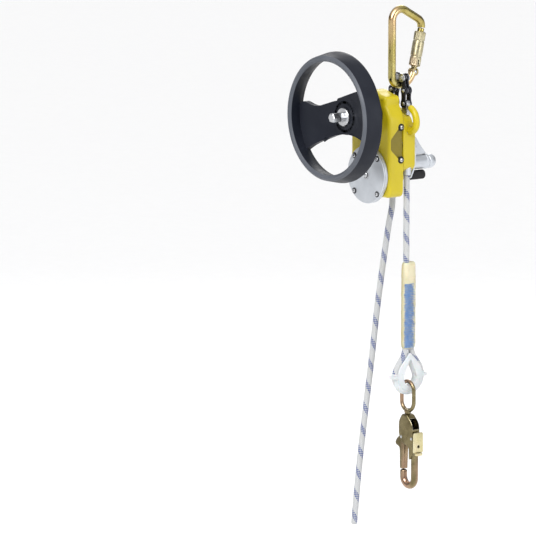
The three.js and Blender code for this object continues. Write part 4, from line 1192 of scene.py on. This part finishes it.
def make_wheel():
    at = (AXIS_X, 0, WHEEL_Z)
    place = Matrix.Translation(at)
    rim = lathe(soften([
        (100, -100, 1.5), (100, -104, 3), (95.2, -127, 1.2), (91, -130.5, 1.6), (86, -127, 1.2),
        (87, -112, 3), (91, -100, 1.5)], 1.5, 4), 160, at)
    dish = lathe(soften([
        (20, -92, 0), (28, -92, 6), (60, -98.2, 10), (89, -110, 2), (93, -101.5, 2), (60, -90.2, 10),
        (28, -83, 6), (20, -83, 0)], 0, 6), 128, at)
    spokes = [
        [(-18, 26, 4), (20, 38, 20), (58, 48, 24), (80, 72, 8), (102, 40, 4), (102, -40, 4), (80, -55, 8),
         (58, -34, 22), (26, -27, 14), (-18, -26, 4)],
        [(18, 26, 4), (-18, 24, 12), (-62, 10, 22), (-82, 20, 8), (-101, -5, 6), (-100, -40, 6),
         (-82, -66, 8), (-60, -46, 22), (-15, -28, 14), (18, -26, 4)],
    ]
    right, left = [rounded_prism(soften(outline, 6, 10), -120, -70, to_world=place) for outline in spokes]
    web_arms = carve(dish, keeps=[carve(right, joins=[left])])
    hub = lathe(soften([(8.4, -92, 0.4), (26, -92, 1.5), (28, -90, 2), (26, -74, 8), (24, -62, 1),
                        (8.4, -62, 0.4)], 1, 4), 96, at)
    ribs = []
    upright = Matrix(((1, 0, 0, 0), (0, 0, 1, 0), (0, 1, 0, 0), (0, 0, 0, 1)))
    for angle, reach in ((2, 84), (-158, 84), (30, 60), (-26, 60), (-185, 58), (-136, 58)):
        turn = Matrix.Rotation(math.radians(-angle), 4, "Y")
        tip = -103 if reach > 70 else -96.5
        bar = soften([(22, -87, 0), (reach, tip, 2), (reach, -99, 2), (22, -76, 0)], 1, 3)
        ribs.append(rounded_prism(bar, -1.6, 1.6, 0.7, 3, place @ turn @ upright))
    solid = carve(rim, joins=[web_arms, hub, *ribs])
    wheel = piece("hand_wheel_body", solid, "wheel", "black_plastic", ["hand_wheel"], 34,
                  extra=["wheel_bevel"])
    # Rim faces that face forward get the second, lighter plastic: painted highlight.
    for face in wheel.data.polygons:
        where = face.center / MM
        radius = math.hypot(where.x - AXIS_X, where.z - WHEEL_Z)
        if radius > 86 and where.y < -126.3 and face.normal.y < -0.3:
            face.material_index = 1
    washer = lathe([(0, -96.3), (13.2, -96.3), (14, -95.5), (14, -92.3), (0, -92.3)], 64, at)
    nut = lathe([(0, -118), (6.6, -118), (7.5, -117), (7.5, -94), (0, -94)], 6, at)
    bars = [rod(8, -93, -26, AXIS_X, WHEEL_Z, 64), rod(6, -27, -14.6, AXIS_X, WHEEL_Z, 48),
            rod(11.2, -27, -20, AXIS_X, WHEEL_Z, 24)]
    shaft = carve(carve(washer, joins=[nut]), joins=bars)
    piece("wheel_drive_shaft", shaft, "wheel", "plain_steel", ["wheel_shaft"], 30)
    collar = soften([(9.2, -61, 0.5), (23, -61, 1.5), (26, -51, 3), (31, -42.3, 1), (9.2, -42.3, 0.5)], 1, 4)
    piece("neck_cone", lathe(collar, 96, at), "casing", "black_plastic", ["neck_collar"], 40)


# ---- Brake cover -------------------------------------------------------------------------------

def make_brake():
    at = (AXIS_X, 0, BRAKE_Z)
    angles = (45, 135, 225, 315)
    holes = [(AXIS_X + p.x, BRAKE_Z + p.y) for p in arc(0, 0, 38.5, angles[0], angles[-1], 3)]

    def drilled(outline, depth):
        drills = [rod(2.3, -52, depth, x, z, 24) for x, z in holes]
        return carve(lathe(soften(outline, 0.3, 3), 144, at), cuts=drills)

    disc = drilled([(6.8, -50, 0.3), (44, -50, 0.9), (44, -47.6, 0.6), (6.8, -47.6, 0.2)], -43)
    piece("brake_cover_disc", disc, "casing", "cast_silver", ["brake_cover"], 30)
    flange = drilled([(34, -47.3, 0.2), (44, -47.3, 0.5), (44, -42.3, 0.8), (38, -42.3, 0.8),
                      (38, -28, 0.5), (34, -28, 0.3)], -42.9)
    piece("brake_drum_ring", flange, "casing", "cast_silver", ["brake_drum"], 30)
    cap = soften([(0, -50.35, 0), (6.3, -50.35, 0.3), (6.5, -50.1, 0.2), (6.5, -46, 0.3), (4.3, -46, 0.3),
                  (4.3, -49.7, 0.2), (0, -49.7, 0)], 0.2, 4, closed=False)
    middle = (AXIS_X, COVER_Y, BRAKE_Z)
    middle_screw = screw_head(4.4, 2.2, Matrix.Translation(middle))
    piece("brake_cap", carve(lathe(cap, 64, at), joins=[middle_screw]), "casing", "cast_silver",
          ["brake_cover_cap"], 30, "plain_steel")
    # The black ring round the middle screw, and those round the cover screws below, are painted shade.
    ring = lathe([(4.35, -0.3), (5.2, -0.3), (5.2, 0.1), (4.35, 0.1)], 48, middle)
    piece("brake_cap_shade_ring", ring, "casing", "black_rubber")
    radius, height = 3.0, 2
    shade_ring_profile = [(2.9, -0.5), (4.3, -0.5), (4.6, -0.3), (4.6, 0.25), (2.9, 0.25)]
    for angle, (x, z) in zip(angles, holes):
        place = Matrix.Translation((x, COVER_Y, z))
        shank = rod(2, COVER_Y, -44.4, x, z, 24)
        piece(f"brake_screw_{angle}", carve(screw_head(radius, height, place, 0.42), joins=[shank]),
              "casing", "plain_steel", [f"cover_screw_{angle}"], 30)
        piece(f"brake_screw_shade_ring_{angle}", screw_shade_ring(shade_ring_profile, radius, height, place), "casing",
              "black_rubber")


# ---- Cleat -------------------------------------------------------------------------------------

def make_cleat():
    def bore():
        return rod(3.3, 0, 60, CLEAT_X, CLEAT_PIN_Z, 40)

    base = rounded_prism(soften([
        (-3, -196, 4), (23, -196, 4), (23, -232, 8), (12, -254, 5), (-2, -254, 4), (-3, -250, 2)], 3, 6),
        10.3, 13.3, 0.5)
    across = crosswise(CLEAT_X)
    gusset = rounded_prism(soften([
        (12, -188, 1), (26, -190, 5), (33, -202, 8), (47, -218.2, 2), (12, -218.2, 1)], 3, 6),
        -2.5, 2.5, 0.7, to_world=across)
    back = Matrix.Rotation(math.pi, 4, "Z")
    screws = [screw_head(2.6, 1.4, Matrix.Translation((16.5, 13.3, z)) @ back) for z in (-203, -224)]
    lightening = rod(3.4, -6, 12, 0, -205.5, 40, "X", 23.5)
    plate = carve(base, joins=[gusset], cuts=[bore(), lightening])
    piece("cleat_plate", plate, "casing", "cast_silver", ["cleat_bracket"], 30)
    for i, screw in enumerate(screws):
        piece(f"cleat_screw_{i + 1}", screw, "casing", "plain_steel")
    knob = soften([
        (0, 13.6, 0), (11.5, 13.6, 1), (11.5, 17.5, 0.5), (10.9, 18.3, 0.5), (10.9, 43.5, 0.5),
        (11.5, 44.3, 0.5), (11.5, 46, 0.8), (9.4, 48, 1.2), (11, 50, 1), (11, 56.5, 3.5), (8.2, 61.8, 3),
        (4.2, 63.2, 2), (0, 63.4, 0)], 0.5, 5, closed=False)
    knob[-1].x = knob[0].x = 0.0
    piece("cleat_knob", lathe(knob, 80, (CLEAT_X, 0, -230)), "casing", "cast_silver",
          ["cleat_bollard"], 30)

    def knurl(radius, height, angle):
        return radius - (0.35 * (0.5 + 0.5 * math.cos(24 * angle)) if radius > 6 else 0.0)

    drum_profile = [(0, 15), (6.6, 15), (7.2, 15.6)] + [(7.2, 16 + k) for k in range(25)]
    drum_profile += [(7.2, 41.4), (6.6, 42), (0, 42)]
    drum = lathe(drum_profile, 144, (CLEAT_X, 0, CLEAT_PIN_Z), ripple=knurl)
    arm = rounded_prism(soften([
        (5, -252.5, 0), (5, -246.5, 0), (-12, -246.5, 2.8), (-12, -252.5, 2.8)], 1, 6), 15, 29, 1.0)
    piece("cleat_cam_roller", carve(drum, joins=[arm], cuts=[bore()]), "cam", "black_rubber",
          ["cleat_cam"], 35)
    pin = lathe([(0, 10.3), (3, 10.3), (3, 43.2), (2.3, 44), (0, 44)], 40,
                (CLEAT_X, 0, CLEAT_PIN_Z))
    piece("cleat_cam_pin", pin, "casing", "plain_steel", ["cleat_pin"], 30)


# ---- Snap hook ---------------------------------------------------------------------------------

HOOK = Matrix.Translation((LOAD_X, EYE_Y, 0))


def at_hook(bm):
    return moved(bm, HOOK)


def hook_hole(x):
    return rod(2.3, -20, 20, x, HOOK_PIN_Z, 32)


def make_hook():
    ring_r, top, foot = 14.3, -567.3, -613.0
    loop = arc(0, top - ring_r, ring_r, 0, 180, 30) + arc(0, foot + ring_r, ring_r, 180, 360, 30)
    line = even([Vector((p.x, 0, p.y)) for p in loop + loop[:1]], 1.2)[:-1]
    wire = tube(line, 3.0, 24, closed=True)
    stem = [(0, -638), (5.4, -638), (6.2, -637.2), (6.2, -634.2), (5.6, -633.5), (4.2, -633.5),
            (4.2, -619), (5.2, -615.5), (5.4, -612.5), (4.6, -610.2), (0, -609.6)]
    swivel = carve(wire, joins=[lathe(stem, 48, axis="Z")])
    piece("hook_eye_ring", at_hook(swivel), "hook_eye", "hook_steel", ["hook_swivel_eye"], 35)

    shank = rounded_prism(soften([
        (-5, -618, 3), (6, -618, 4), (20, -632, 8), (20, -662, 5), (22.6, -675, 6), (11, -690, 6),
        (11, -668, 5), (-4, -664, 4), (-13, -652, 6), (-13, -629, 8)], 4, 8), -8, 8, 2.2, 5)
    line = [Vector((17, -660)), Vector((17, -717))] + arc(4, -717, 13, 0, -180, 30)[1:]
    line += [Vector((-9, -708))]
    path = even([Vector((p.x, 0, p.y)) for p in line], 1.2)
    length = path_length(path)

    def nose(along):
        left = length - along
        return 5.5 * math.sqrt(max(0.05, 1 - (1 - min(left, 3.0) / 3.0) ** 2)) if left < 3 else 5.5

    path += [path[-1] + Vector((0, 0, 0.6 * k)) for k in (1, 2, 3)]
    length = path_length(path)
    bow = tube(path, nose, 36)
    cuts = [
        rounded_prism(soften([(-7, -640, 1.5), (30, -640, 1), (30, -624, 1), (-7, -624, 1.5)], 1, 4),
                      -6.6, 6.6),
        lathe([(0, -640), (4.5, -640), (4.5, -600), (0, -600)], 48, axis="Z"),
        box((-30, 1), (-5, 5), (-680, -645)),
        box((15, 30), (-2.8, 2.8), (-664, -645)),
        hook_hole(HOOK_GATE_X), hook_hole(HOOK_LOCK_X),
    ]
    piece("hook_frame", at_hook(carve(shank, joins=[bow], cuts=cuts)), "hook", "hook_steel",
          ["hook_body"], 30)
    gate = rounded_prism(soften([
        (-10, -650, 3), (-21, -659, 3), (-24.5, -665, 2), (-23, -669, 2), (-14, -672, 5), (-13.4, -705.3, 2),
        (-4.6, -705.3, 2),
        (-2, -656, 3), (-3, -650, 2)], 2, 6), -4.6, 4.6, 1.2, 4)
    piece("hook_gate_bar", at_hook(carve(gate, cuts=[hook_hole(HOOK_GATE_X)])), "hook_gate", "hook_steel",
          ["hook_gate"], 30)
    into_x = crosswise(0)
    plate = rounded_prism(soften([(-9.5, -676), (9.5, -676), (9.5, -644), (-9.5, -644)], 3.5, 6),
                          23.6, 26, 0.6, 3, into_x)
    lug = box((15.6, 24), (-2.4, 2.4), (-658, -650))
    toe = rounded_prism(soften([(-6, -680), (6, -680), (6, -675.5), (-6, -675.5)], 1.5, 4),
                        23.6, 29, 0.8, 3, into_x)
    eyelet = rod(2.6, 20, 30, 0, -666, 40, "X")
    lock = carve(plate, joins=[lug, toe], cuts=[hook_hole(HOOK_LOCK_X), eyelet])
    piece("hook_release_lever", at_hook(lock), "hook_lock", "hook_steel", ["hook_lock"], 30, "latch_steel")
    profile = [(0, -9), (1.2, -9), (2, -8.5), (2, 8.5), (1.2, 9), (0, 9)]
    for name, x in (("gate", HOOK_GATE_X), ("lock", HOOK_LOCK_X)):
        rivet = lathe(profile, 32, (x, 0, HOOK_PIN_Z))
        piece(f"hook_{name}_pin", at_hook(rivet), "hook", "plain_steel", [f"hook_{name}_rivet"], 30)


# ---- Parts kept from the CAD ---------------------------------------------------------------------

def dress_kept_nodes():
    """Gives every CAD node the finish of its own slot."""
    looks = {part["node"]: part["material_slot"] for part in frame["record"]["subparts"]}
    for name, node in frame["nodes"].items():
        node.data.materials.clear()
        node.data.materials.append(MATERIALS[looks.get(name, "plain_steel")])


make_camera()
MATERIALS = make_materials()
make_cords()
make_studio()
make_carabiner()
make_chain()
make_anchor()
make_front_shell()
make_rear_shell()
make_side_screws()
make_wheel()
make_brake()
make_cleat()
make_hook()
dress_kept_nodes()
